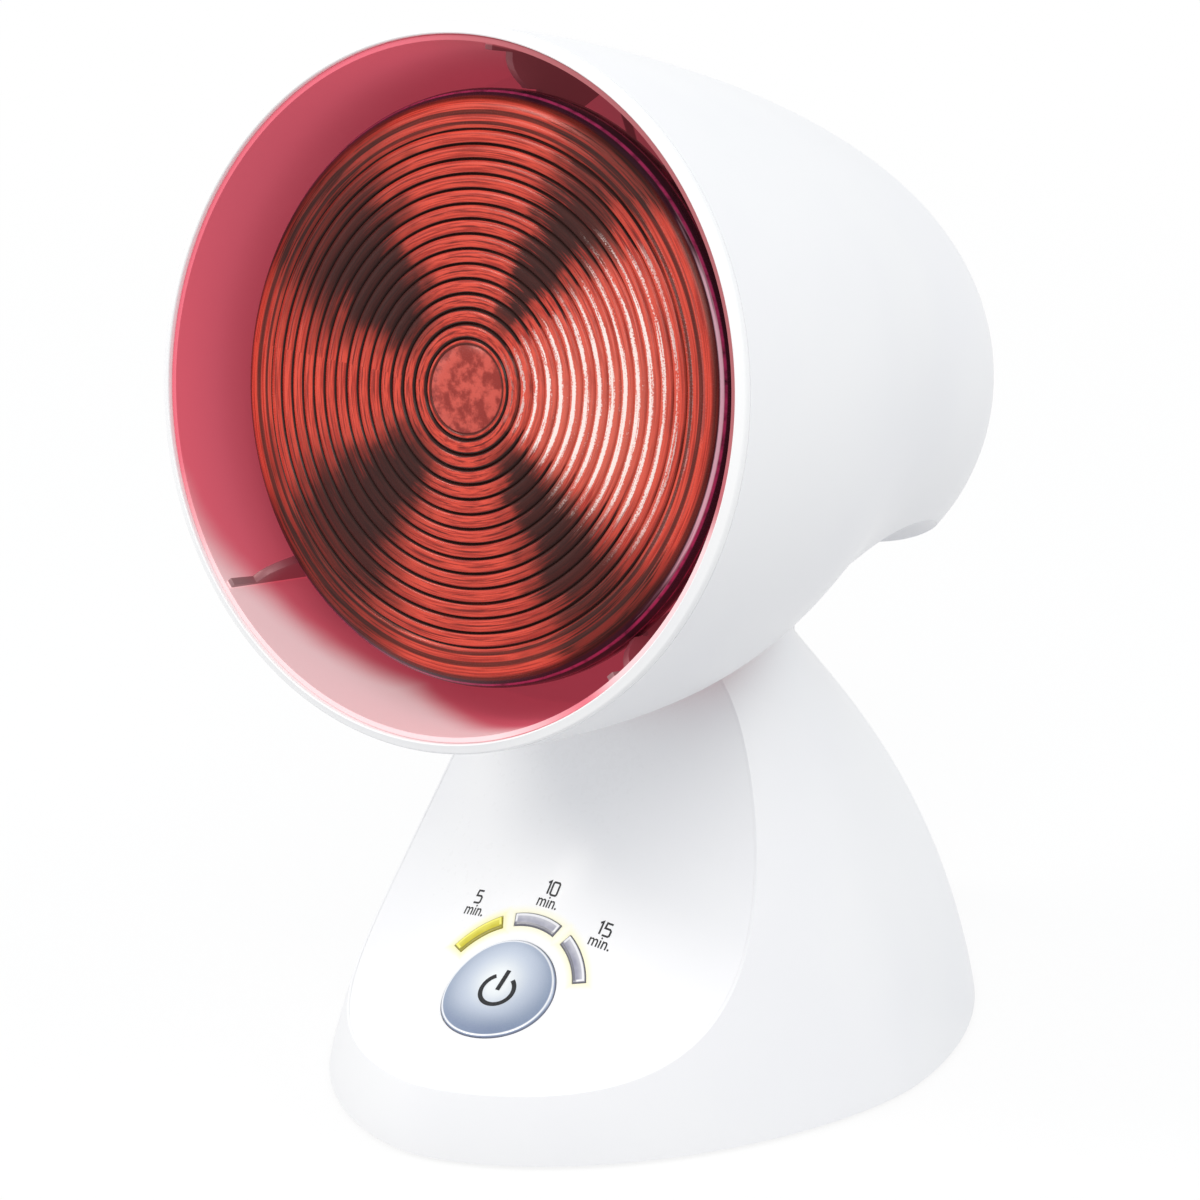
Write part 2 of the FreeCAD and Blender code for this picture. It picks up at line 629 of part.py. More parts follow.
def terminal_block():
    """Three-pole screw block on the base plate, with a well over each screw."""
    half = TERMINAL_LENGTH / 2
    body = box((-half, half), (TERMINAL_Y - TERMINAL_WIDTH / 2, TERMINAL_Y + TERMINAL_WIDTH / 2),
               (PLATE_TOP, PLATE_TOP + TERMINAL_HEIGHT))
    wells = []
    for pole in (-1, 0, 1):
        x = pole * TERMINAL_LENGTH / 3
        for y in (TERMINAL_Y - TERMINAL_WIDTH / 4, TERMINAL_Y + TERMINAL_WIDTH / 4):
            wells.append(rod(TERMINAL_WIDTH / 8, vec(x, y, PLATE_TOP + TERMINAL_HEIGHT / 2), vec(x, y, FAR)))
    return body.cut(wells)


def foot_back_at(height):
    """How far back the dome's outer face reaches at one height."""
    share = height / NECK_HEIGHT
    drop = (FOOT_HALF_DEPTH - NECK_HALF_DEPTH) * share ** DOME_DEPTH_CURVE
    return FOOT_HALF_DEPTH - drop + NECK_SHIFT * share


def inlet_bush():
    """Rubber bush through the back of the dome, held by a flange on each side."""
    back = foot_back_at(INLET_HEIGHT)
    front_flange = back - FOOT_WALL - INLET_FLANGE - 1
    body = rod(INLET_BODY_RADIUS, vec(0, front_flange, INLET_HEIGHT), vec(0, back + INLET_FLANGE, INLET_HEIGHT))
    outer = rod(INLET_FLANGE_RADIUS, vec(0, back - FOOT_WALL / 2, INLET_HEIGHT),
                vec(0, back + INLET_FLANGE, INLET_HEIGHT)).cut(dome(0, NECK_TOP, FOOT_CLEARANCE))
    inner = rod(INLET_FLANGE_RADIUS, vec(0, front_flange, INLET_HEIGHT),
                vec(0, back - FOOT_WALL / 2, INLET_HEIGHT)).common(dome(FOOT_WALL + SIDE_GAP, NECK_HEIGHT, 0))
    bore = rod(INLET_BORE_RADIUS, vec(0, 0, INLET_HEIGHT), vec(0, FAR, INLET_HEIGHT))
    return body.fuse([outer, inner]).cut(bore).removeSplitter()


# ---------------------------------------------------------------- hinge pieces, row frame

def across_hinge(radius, x_low, x_high):
    """Cylinder on the hinge's axis between two places across the lamp."""
    return rod(radius, vec(x_low, HINGE_Y, HINGE_Z), vec(x_high, HINGE_Y, HINGE_Z))


def hexagon_on_hinge(flats, x_low, x_high):
    corner = flats / math.sqrt(3)
    points = []
    for step in range(6):
        angle = math.radians(60 * step)
        points.append(vec(x_low, HINGE_Y + corner * math.cos(angle), HINGE_Z + corner * math.sin(angle)))
    return Part.Face(closed_wire(points)).extrude(vec(x_high - x_low, 0, 0))


def pivot_bolt():
    head_start = DETENT_X + DETENT_THICKNESS + SIDE_GAP
    end = -(CHEEK_OUTER_X + SIDE_GAP + NUT_HEIGHT)
    head = hexagon_on_hinge(BOLT_HEAD_FLATS, head_start, head_start + BOLT_HEAD)
    return head.fuse(across_hinge(BOLT_RADIUS, end, head_start))


def pivot_nut():
    start = CHEEK_OUTER_X + SIDE_GAP
    nut = hexagon_on_hinge(BOLT_HEAD_FLATS, -start - NUT_HEIGHT, -start)
    return nut.cut(across_hinge(BOLT_RADIUS + BOLT_CLEARANCE / 2, -FAR, FAR))


def friction_washers():
    start = BARREL_HALF_LENGTH + SIDE_GAP
    washer = across_hinge(WASHER_RADIUS, start, start + WASHER_THICKNESS)
    washer = washer.cut(across_hinge(BOLT_RADIUS + BOLT_CLEARANCE, -FAR, FAR))
    return group([washer, mirrored(washer)])


def detent_disc():
    """Disc keyed to the bolt, with one notch in its edge for each stop of the head."""
    disc = across_hinge(DETENT_RADIUS, DETENT_X, DETENT_X + DETENT_THICKNESS)
    notches = []
    for stop in range(DETENT_STOPS):
        angle = math.radians(90 - HEAD_TILT - (stop - DETENT_REST) * DETENT_STEP)
        y = HINGE_Y + DETENT_RADIUS * math.cos(angle)
        z = HINGE_Z + DETENT_RADIUS * math.sin(angle)
        notches.append(rod(DETENT_NOTCH_RADIUS, vec(DETENT_X - 1, y, z), vec(DETENT_X + DETENT_THICKNESS + 1, y, z)))
    bore = across_hinge(BOLT_RADIUS + BOLT_CLEARANCE, -FAR, FAR)
    return disc.cut(notches + [bore])


# ---------------------------------------------------------------- forms of the head

def bell_radius(station):
    share = min(station / BELL_LENGTH, 1.0)
    return RIM_RADIUS * (1 - share ** BELL_LONG_CURVE) ** (1 / BELL_ROUND_CURVE)


def bell_lift(station):
    """How far the underside is drawn up at a station, where the bell is slimmer below."""
    return BELL_LIFT * math.exp(-((station - BELL_LIFT_STATION) / BELL_LIFT_SPAN) ** 2)


def bell_form(inset, start):
    """Solid inside the bell's outer face, moved inwards by inset, from a station backwards."""
    shrink = (BELL_LENGTH - inset) / BELL_LENGTH
    wires = []
    for step in range(BELL_SECTIONS + 1):
        share = math.sin(math.radians(88.5) * step / BELL_SECTIONS)
        place = start + (BELL_LENGTH * shrink - start) * share
        reference = place / shrink
        lift = bell_lift(reference)
        radius = bell_radius(reference) - inset - lift
        wires.append(Part.Wire([Part.makeCircle(radius, vec(0, -lift, place), vec(0, 0, 1))]))
    return Part.makeLoft(wires, True, False)


def scoop_form(grow):
    """Drum across the underside that leaves room for the foot when the head tilts up."""
    return rod(SCOOP_RADIUS + grow, vec(-FAR, SCOOP_DROP, SCOOP_STATION), vec(FAR, SCOOP_DROP, SCOOP_STATION))


def bell_inside(gap):
    """Free space inside the bell's wall, less a gap."""
    return bell_form(BELL_WALL + gap, 0).cut(scoop_form(BELL_WALL + gap))


# ---------------------------------------------------------------- head pieces

def hinge_screw_places():
    return [(x, z) for x in (-HINGE_SCREW_X, HINGE_SCREW_X) for z in (HINGE_SCREW_FRONT, HINGE_SCREW_REAR)]


def bracket_ear_places():
    return [-BRACKET_EAR_X, BRACKET_EAR_X]


def head_shell():
    """Bell with a scooped underside, the neck's slot, rear vents and inner bosses."""
    outer = bell_form(0, RING_DEPTH).cut(scoop_form(0))
    shell = outer.cut(bell_inside(0))
    bosses = []
    for x, z in hinge_screw_places():
        bosses.append(rod(HINGE_BOSS_RADIUS, vec(x, FLANGE_SEAT_DROP, z), vec(x, SCOOP_DROP, z)))
    for x in bracket_ear_places():
        start = BRACKET_EAR_STATION + BRACKET_THICKNESS
        bosses.append(rod(BRACKET_EAR_RADIUS, vec(x, 0, start), vec(x, 0, BELL_LENGTH)))
    shell = shell.fuse([boss.common(outer) for boss in bosses])
    slot = box((-SLOT_HALF_WIDTH, SLOT_HALF_WIDTH), (0, FAR), (SLOT_FRONT, SLOT_REAR))
    upright = [edge for edge in slot.Edges if edge.BoundBox.YLength > SLOT_CORNER]
    cuts = [slot.makeFillet(SLOT_CORNER, upright)]
    cuts.append(rod(TONGUE_OUTER_RADIUS + FIT_GAP, vec(0, 0, 0), vec(0, 0, LINER_SEAT)))
    for x, z in hinge_screw_places():
        cuts.append(rod(HINGE_SCREW_RADIUS + FIT_GAP, vec(x, FLANGE_SEAT_DROP - 1, z),
                        vec(x, FLANGE_SEAT_DROP + HINGE_SCREW_BITE + FIT_GAP, z)))
    for x in bracket_ear_places():
        start = BRACKET_EAR_STATION
        cuts.append(rod(HOLDER_SCREW_RADIUS + FIT_GAP, vec(x, 0, start),
                        vec(x, 0, start + BRACKET_THICKNESS + EAR_SCREW_BITE)))
    for index in range(VENT_COUNT):
        x = (index - (VENT_COUNT - 1) / 2) * VENT_PITCH
        vent = box((x - VENT_WIDTH / 2, x + VENT_WIDTH / 2), (-VENT_HEIGHT / 2, VENT_HEIGHT / 2),
                   (HOLDER_END + 2 * BRACKET_THICKNESS, FAR))
        ends = [edge for edge in vent.Edges if edge.BoundBox.ZLength > VENT_WIDTH]
        cuts.append(vent.makeFillet(VENT_WIDTH / 2 - 0.01, ends))
    return placed(shell.cut(cuts), HEAD_PLACE)


def front_ring():
    """Narrow bezel on the mouth, with a tongue that plugs into the bell."""
    ring = turned_polygon([
        (RIM_RADIUS, RING_DEPTH), (RIM_RADIUS, 0), (RING_INNER_RADIUS, -RING_NOSE),
        (RING_INNER_RADIUS, RING_DEPTH + RING_TONGUE_LENGTH - FIT_GAP),
        (TONGUE_OUTER_RADIUS, RING_DEPTH + RING_TONGUE_LENGTH - FIT_GAP), (TONGUE_OUTER_RADIUS, RING_DEPTH)])
    outer_edge = [edge for edge in ring.Edges
                  if abs(edge.BoundBox.ZMax) < 0.01 and edge.BoundBox.XLength > 2 * RIM_RADIUS - 0.1]
    inner_edge = [edge for edge in ring.Edges if edge.BoundBox.ZMax < -RING_NOSE + 0.01]
    ring = ring.makeFillet(0.8, outer_edge)
    inner_edge = [edge for edge in ring.Edges if edge.BoundBox.ZMax < -RING_NOSE + 0.01]
    return placed(ring.makeFillet(0.35, inner_edge), HEAD_PLACE)


def liner_outer_radius(station):
    """Outer radius of the shade's cone, before it turns in to the throat."""
    share = (station - LINER_START) / (LINER_REAR - LINER_START)
    return LINER_FRONT_RADIUS + (LINER_REAR_RADIUS - LINER_FRONT_RADIUS) * share


def centring_fin():
    """Upright fin that starts as a low rib, steps up and is notched for the bulb's rim."""
    seat = BULB_RADIUS + FIN_GAP
    rib = liner_outer_radius(FIN_STEP_STATION) - LINER_THICKNESS - FIN_RIB
    wall = LINER_FRONT_RADIUS
    nose = seat + 0.6
    rim_back = BULB_FLANGE_STATION + REFLECTOR_RIM + FIN_GAP
    step_end = BULB_FLANGE_STATION - 2
    bend = vec(nose + 0.36 * (rib - nose), 0, FIN_STEP_STATION + 0.3 * (step_end - FIN_STEP_STATION))
    step = Part.Arc(vec(rib, 0, FIN_STEP_STATION), bend, vec(nose, 0, step_end)).toShape()
    points = [vec(nose, 0, step_end), vec(seat, 0, step_end + 0.8), vec(seat, 0, rim_back),
              vec(seat - 1.5, 0, rim_back + 1), vec(seat - 5.2, 0, FIN_SLOPE_STATION),
              vec(LINER_REAR_RADIUS, 0, LINER_REAR - 1),
              vec(wall, 0, LINER_REAR - 1), vec(wall, 0, 1.0), vec(rib, 0, 1.0), vec(rib, 0, FIN_STEP_STATION)]
    lines = [Part.makeLine(points[i], points[i + 1]) for i in range(len(points) - 1)]
    face = Part.Face(Part.Wire([step] + lines))
    fin = face.extrude(vec(0, FIN_THICKNESS, 0))
    fin.translate(vec(0, -FIN_THICKNESS / 2, 0))
    return fin


def shade_liner():
    """Inner shade: a cone with a seating flange, a turned-in floor and three fins."""
    thickness = LINER_THICKNESS
    front = LINER_SEAT - LINER_FLANGE
    outer = [(LINER_FRONT_RADIUS, LINER_START), (liner_outer_radius(front), front), (TONGUE_OUTER_RADIUS, front),
             (TONGUE_OUTER_RADIUS, LINER_SEAT), (liner_outer_radius(LINER_SEAT), LINER_SEAT),
             (LINER_REAR_RADIUS, LINER_REAR), (throat_radius(), LINER_THROAT)]
    inner = [(throat_radius() - thickness / 2, LINER_THROAT - thickness),
             (LINER_REAR_RADIUS - thickness, LINER_REAR - thickness / 2),
             (LINER_FRONT_RADIUS - thickness, LINER_START)]
    wall = turned_polygon(outer + inner)
    middle = thickness / 2
    inside = turned_polygon([(0, LINER_START), (LINER_FRONT_RADIUS - middle, LINER_START),
                             (LINER_REAR_RADIUS - middle, LINER_REAR),
                             (throat_radius() - middle, LINER_THROAT), (0, LINER_THROAT)])
    fins = []
    for angle in FIN_ANGLES:
        fin = centring_fin()
        fin.rotate(vec(0, 0, 0), vec(0, 0, 1), angle)
        fins.append(fin.common(inside))
    return placed(wall.fuse(fins).removeSplitter(), HEAD_PLACE)


def heat_shield():
    """Plate across the bell behind the holder's collar, notched over the hinge."""
    start = HOLDER_START + HOLDER_COLLAR
    slab = box((-FAR, FAR), (-FAR, FAR), (start, start + SHIELD_THICKNESS))
    plate = slab.common(bell_inside(SHIELD_GAP))
    hole = rod(HOLDER_RADIUS + FIT_GAP, vec(0, 0, 0), vec(0, 0, FAR))
    notch = box((-SHIELD_NOTCH_HALF_WIDTH, SHIELD_NOTCH_HALF_WIDTH), (SHIELD_NOTCH_TOP, FAR), (0, FAR))
    return placed(plate.cut([hole, notch]), HEAD_PLACE)


def hinge_bracket_blank():
    """Right-hand bracket: an upright cheek with the pivot's eye and a flange on the scoop's roof."""
    eye = rod(CHEEK_RADIUS, vec(CHEEK_INNER_X, HINGE_DROP, HINGE_BACK), vec(CHEEK_OUTER_X, HINGE_DROP, HINGE_BACK))
    seat = FLANGE_SEAT_DROP
    outline = [(HINGE_DROP - CHEEK_RADIUS, HINGE_BACK), (CHEEK_TAB_DROP, HINGE_FLANGE_FRONT + 1),
               (CHEEK_TAB_DROP, DETENT_TAB_STATION + 4), (seat - CHEEK_THICKNESS, HINGE_FLANGE_REAR),
               (seat, HINGE_FLANGE_REAR), (seat, HINGE_FLANGE_FRONT),
               (HINGE_DROP + 0.3 * CHEEK_RADIUS, HINGE_BACK + 0.9 * CHEEK_RADIUS), (HINGE_DROP, HINGE_BACK)]
    points = [vec(CHEEK_INNER_X, drop, station) for drop, station in outline]
    cheek = Part.Face(closed_wire(points)).extrude(vec(CHEEK_THICKNESS, 0, 0))
    flange = box((HINGE_FLANGE_INNER_X, CHEEK_OUTER_X), (seat - CHEEK_THICKNESS, seat),
                 (HINGE_FLANGE_FRONT, HINGE_FLANGE_REAR))
    pivot = rod(BOLT_RADIUS + BOLT_CLEARANCE, vec(0, HINGE_DROP, HINGE_BACK), vec(FAR, HINGE_DROP, HINGE_BACK))
    holes = [rod(HINGE_SCREW_RADIUS + FIT_GAP, vec(HINGE_SCREW_X, 0, z), vec(HINGE_SCREW_X, FAR, z))
             for z in (HINGE_SCREW_FRONT, HINGE_SCREW_REAR)]
    return eye.fuse([cheek, flange]).cut(holes + [pivot])


def hinge_bracket_right():
    """Bracket that also carries the detent spring's rivet."""
    return placed(hinge_bracket_blank().cut(detent_rivet_hole(FIT_GAP / 2)).removeSplitter(), HEAD_PLACE)


def hinge_bracket_left():
    return placed(mirrored(hinge_bracket_blank()).removeSplitter(), HEAD_PLACE)


def hinge_screws():
    screws = []
    seat = FLANGE_SEAT_DROP - CHEEK_THICKNESS
    for x, z in hinge_screw_places():
        head = rod(HINGE_SCREW_HEAD_RADIUS, vec(x, seat - HINGE_SCREW_HEAD, z), vec(x, seat, z))
        shank = rod(HINGE_SCREW_RADIUS, vec(x, seat, z), vec(x, FLANGE_SEAT_DROP + HINGE_SCREW_BITE, z))
        screws.append(placed(head.fuse(shank), HEAD_PLACE))
    return group(screws)


def detent_rivet_hole(clearance):
    """Pin through the right cheek that holds the detent spring."""
    return rod(DETENT_RIVET_RADIUS + clearance, vec(CHEEK_INNER_X, DETENT_TAB_DROP, DETENT_TAB_STATION),
               vec(CHEEK_OUTER_X + FIT_GAP, DETENT_TAB_DROP, DETENT_TAB_STATION))


def detent_spring():
    """Leaf riveted to the right cheek, whose dimple drops into the disc's notches."""
    contact = HINGE_DROP - DETENT_RADIUS - DETENT_SPRING_LIFT
    low_side = [(contact - 0.9, HINGE_BACK - 4.5), (contact, HINGE_BACK - 0.6), (contact, HINGE_BACK + 0.6),
                (contact - 0.9, HINGE_BACK + 4.5), (DETENT_TAB_DROP, DETENT_TAB_STATION - 4)]
    high_side = [(drop - DETENT_SPRING_THICKNESS, station) for drop, station in reversed(low_side)]
    points = [vec(DETENT_X, drop, station) for drop, station in low_side + high_side]
    leaf = Part.Face(closed_wire(points)).extrude(vec(DETENT_THICKNESS, 0, 0))
    tab = box((CHEEK_OUTER_X, CHEEK_OUTER_X + 2 * DETENT_SPRING_THICKNESS),
              (DETENT_TAB_DROP - 2, DETENT_TAB_DROP + 2), (DETENT_TAB_STATION - 5, DETENT_TAB_STATION + 3))
    return placed(leaf.fuse([tab, detent_rivet_hole(0)]), HEAD_PLACE)


def lens_front(apex):
    """Edges of the pressed face: a plain eye, then narrow round grooves that leave ribs between them."""
    def on_face(radius, depth=0):
        return vec(radius, 0, apex + LENS_CROWN * (radius / LENS_RADIUS) ** 2 + depth)

    points = []
    for groove in range(GROOVE_COUNT):
        radius = GROOVE_FIRST_RADIUS + groove * GROOVE_PITCH
        points += [on_face(radius - GROOVE_HALF_WIDTH), on_face(radius, GROOVE_DEPTH),
                   on_face(radius + GROOVE_HALF_WIDTH)]
    points.append(on_face(LENS_RADIUS))
    eye = dome_arc(points[0].x, points[0].z - apex, apex)
    return [eye] + [Part.makeLine(points[i], points[i + 1]) for i in range(len(points) - 1)]


def bulb_lens():
    """Pressed-glass front: a low ribbed dome, a bevelled edge and a flat back rim."""
    edge_station = BULB_FLANGE_STATION - LENS_EDGE_HEIGHT
    apex = edge_station - LENS_CROWN
    back = apex + LENS_THICKNESS
    edges = lens_front(apex)
    corners = [vec(LENS_RADIUS, 0, edge_station), vec(BULB_RADIUS - 1, 0, edge_station + 1.9),
               vec(BULB_RADIUS, 0, edge_station + 3.6), vec(BULB_RADIUS, 0, BULB_FLANGE_STATION),
               vec(LENS_RADIUS, 0, BULB_FLANGE_STATION), vec(LENS_RADIUS, 0, back + LENS_CROWN)]
    edges += [Part.makeLine(corners[i], corners[i + 1]) for i in range(len(corners) - 1)]
    edges.append(dome_arc(LENS_RADIUS, LENS_CROWN, back))
    edges.append(Part.makeLine(vec(0, 0, back), vec(0, 0, apex)))
    return placed(turned(Part.sortEdges(edges)[0]), HEAD_PLACE)


def reflector_radius(station, wall):
    return math.sqrt(4 * REFLECTOR_FOCAL * (REFLECTOR_VERTEX - station)) + wall


def reflector_curve(wall, first, last):
    """Edge along the parabola between two stations."""
    points = []
    for step in range(6):
        station = first + (last - first) * step / 5
        points.append(vec(reflector_radius(station, wall), 0, station))
    return curve_edge(points), points[0], points[-1]


def neck_join():
    """Station at which the parabola has narrowed to the neck's radius."""
    return REFLECTOR_VERTEX - (BULB_NECK_RADIUS - REFLECTOR_WALL) ** 2 / (4 * REFLECTOR_FOCAL)


def throat_radius():
    """Radius of the shade's rear opening, clear of the reflector."""
    return reflector_radius(LINER_THROAT, REFLECTOR_WALL) + LINER_THROAT_GAP


def bulb_reflector():
    """Glass body: a rim, a parabola and a straight neck, with an even wall."""
    rim_back = BULB_FLANGE_STATION + REFLECTOR_RIM
    join = neck_join()
    outer, outer_start, outer_end = reflector_curve(REFLECTOR_WALL, rim_back, join)
    inner, inner_start, inner_end = reflector_curve(0, BULB_FLANGE_STATION, join)
    edges = [Part.makeLine(vec(inner_start.x, 0, BULB_FLANGE_STATION), vec(BULB_RADIUS, 0, BULB_FLANGE_STATION)),
             Part.makeLine(vec(BULB_RADIUS, 0, BULB_FLANGE_STATION), vec(BULB_RADIUS, 0, rim_back)),
             Part.makeLine(vec(BULB_RADIUS, 0, rim_back), outer_start), outer,
             Part.makeLine(outer_end, vec(outer_end.x, 0, BULB_NECK_END)),
             Part.makeLine(vec(outer_end.x, 0, BULB_NECK_END), vec(inner_end.x, 0, BULB_NECK_END)),
             Part.makeLine(vec(inner_end.x, 0, BULB_NECK_END), inner_end), inner]
    return placed(turned(Part.sortEdges(edges)[0]), HEAD_PLACE)


def bulb_cap():
    """Metal skirt and thread sleeve of the bulb's cap."""
    skirt_inner = BULB_NECK_RADIUS + FIT_GAP / 2
    skirt_outer = skirt_inner + CAP_SKIRT_THICKNESS
    cone_end = CAP_START - 2
    cap = turned_polygon([
        (skirt_inner, CAP_SKIRT_START), (skirt_outer, CAP_SKIRT_START), (skirt_outer, BULB_NECK_END + 1),
        (CAP_RADIUS + 0.6, cone_end), (CAP_RADIUS, CAP_START), (CAP_RADIUS, CAP_END - 1), (CAP_RADIUS - 1, CAP_END),
        (CAP_RADIUS - 1 - CAP_WALL, CAP_END), (CAP_RADIUS - CAP_WALL, CAP_END - 1),
        (CAP_RADIUS - CAP_WALL, cone_end), (skirt_inner, BULB_NECK_END + 1)])
    return placed(cap, HEAD_PLACE)


def cap_insulator():
    """Black glass cone between the cap's sleeve and its tip."""
    cone = turned_polygon([(0, CAP_END), (CAP_RADIUS - 1, CAP_END), (CAP_TIP_RADIUS + 1, CAP_END + CAP_INSULATOR_LENGTH),
                           (0, CAP_END + CAP_INSULATOR_LENGTH)])
    return placed(cone, HEAD_PLACE)


def cap_contact():
    start = CAP_END + CAP_INSULATOR_LENGTH
    tip = turned_polygon([(0, start), (CAP_TIP_RADIUS, start), (CAP_TIP_RADIUS - 0.8, CAP_TIP_END), (0, CAP_TIP_END)])
    return placed(tip, HEAD_PLACE)


def bulb_stem():
    """Flared glass stem sealed in the neck, which holds the lead-in wires."""
    neck_inner = BULB_NECK_RADIUS - REFLECTOR_WALL
    stem = turned_polygon([
        (0, STEM_STATION), (STEM_TIP_RADIUS, STEM_STATION), (STEM_TIP_RADIUS, BULB_NECK_END - 6),
        (neck_inner - FIT_GAP, BULB_NECK_END - 1), (neck_inner - FIT_GAP, BULB_NECK_END), (0, BULB_NECK_END)])
    return placed(stem, HEAD_PLACE).cut(filament_leads())


def filament_gap_angle():
    return (360 - FILAMENT_ARC) / 2


def filament():
    """Open ring of tungsten coil round the reflector's focus."""
    ring = Part.makeTorus(FILAMENT_RADIUS, FILAMENT_WIRE, vec(0, 0, FILAMENT_STATION), vec(0, 0, 1), 0, 360,
                          FILAMENT_ARC)
    ring.rotate(vec(0, 0, FILAMENT_STATION), vec(0, 0, 1), filament_gap_angle() + 90)
    return placed(ring, HEAD_PLACE)


def filament_leads():
    """Two stiff wires from the stem to the ends of the filament."""
    leads = []
    coil = filament()
    angle = math.radians(filament_gap_angle() + 90)
    for side in (-1, 1):
        foot = vec(side * STEM_TIP_RADIUS / 2, 0, STEM_STATION)
        bend = vec(side * FILAMENT_RADIUS * abs(math.cos(angle)), FILAMENT_RADIUS * math.sin(angle),
                   FILAMENT_STATION + FILAMENT_WIRE)
        leads.append(placed(rod(LEAD_IN_RADIUS, foot, bend), HEAD_PLACE).cut(coil))
    return group(leads)


def lampholder():
    """Ceramic holder body with a collar, a bore for the thread sleeve and screw holes."""
    body = turned_polygon([
        (HOLDER_BORE_RADIUS, HOLDER_START), (HOLDER_COLLAR_RADIUS, HOLDER_START),
        (HOLDER_COLLAR_RADIUS, HOLDER_START + HOLDER_COLLAR), (HOLDER_RADIUS, HOLDER_START + HOLDER_COLLAR),
        (HOLDER_RADIUS, HOLDER_END - 1.5), (HOLDER_RADIUS - 1.5, HOLDER_END), (0, HOLDER_END),
        (0, HOLDER_BORE_END), (HOLDER_BORE_RADIUS, HOLDER_BORE_END)])
    holes = [rod(HOLDER_SCREW_RADIUS + FIT_GAP, vec(x, 0, HOLDER_END - HOLDER_FLOOR + 0.5), vec(x, 0, FAR))
             for x in (-HOLDER_SCREW_X, HOLDER_SCREW_X)]
    return placed(body.cut(holes), HEAD_PLACE)


def screw_shell():
    inner = CAP_RADIUS + SCREW_SHELL_GAP
    sleeve = turned_polygon([
        (inner, CAP_START + 1), (inner + SCREW_SHELL_THICKNESS, CAP_START + 1),
        (inner + SCREW_SHELL_THICKNESS, HOLDER_BORE_END), (inner, HOLDER_BORE_END)])
    return placed(sleeve, HEAD_PLACE)


def centre_contact():
    """Sprung tongue on the holder's floor under the cap's tip."""
    half = CAP_TIP_RADIUS
    tongue = box((-half / 2, half / 2), (-2 * half, half / 2), (CAP_TIP_END, HOLDER_BORE_END))
    return placed(tongue, HEAD_PLACE)


def holder_bracket():
    """Hat-shaped steel strip: its crown is screwed to the holder, its ears to the bell."""
    half = BRACKET_WIDTH / 2
    inside = HOLDER_COLLAR_RADIUS + BRACKET_GAP
    outside = inside + BRACKET_THICKNESS
    ear_end = BRACKET_EAR_X + BRACKET_EAR_RADIUS
    crown = box((-outside, outside), (-half, half), (HOLDER_END, HOLDER_END + BRACKET_THICKNESS))
    leg = box((inside, outside), (-half, half), (BRACKET_EAR_STATION, HOLDER_END + BRACKET_THICKNESS))
    ear = box((outside - BRACKET_THICKNESS / 2, ear_end), (-BRACKET_EAR_RADIUS, BRACKET_EAR_RADIUS),
              (BRACKET_EAR_STATION, BRACKET_EAR_STATION + BRACKET_THICKNESS))
    bracket = crown.fuse([leg, mirrored(leg), ear, mirrored(ear)]).common(bell_inside(SHIELD_GAP))
    holes = []
    for x in (-HOLDER_SCREW_X, HOLDER_SCREW_X, -BRACKET_EAR_X, BRACKET_EAR_X):
        holes.append(rod(HOLDER_SCREW_RADIUS + FIT_GAP, vec(x, 0, 0), vec(x, 0, FAR)))
    return placed(bracket.cut(holes).removeSplitter(), HEAD_PLACE)


def holder_screws():
    """Two screws into the holder's floor and two through the bracket's ears."""
    screws = []
    for x in (-HOLDER_SCREW_X, HOLDER_SCREW_X):
        seat = HOLDER_END + BRACKET_THICKNESS
        head = rod(HOLDER_SCREW_HEAD_RADIUS, vec(x, 0, seat), vec(x, 0, seat + HOLDER_SCREW_HEAD))
        shank = rod(HOLDER_SCREW_RADIUS, vec(x, 0, HOLDER_END - HOLDER_FLOOR + 0.6), vec(x, 0, seat))
        screws.append(placed(head.fuse(shank), HEAD_PLACE))
    for x in bracket_ear_places():
        seat = BRACKET_EAR_STATION
        head = rod(HOLDER_SCREW_HEAD_RADIUS, vec(x, 0, seat - HOLDER_SCREW_HEAD), vec(x, 0, seat))
        shank = rod(HOLDER_SCREW_RADIUS, vec(x, 0, seat), vec(x, 0, seat + BRACKET_THICKNESS + EAR_SCREW_BITE - 0.2))
        screws.append(placed(head.fuse(shank), HEAD_PLACE))
    return group(screws)


# ---------------------------------------------------------------- all nodes

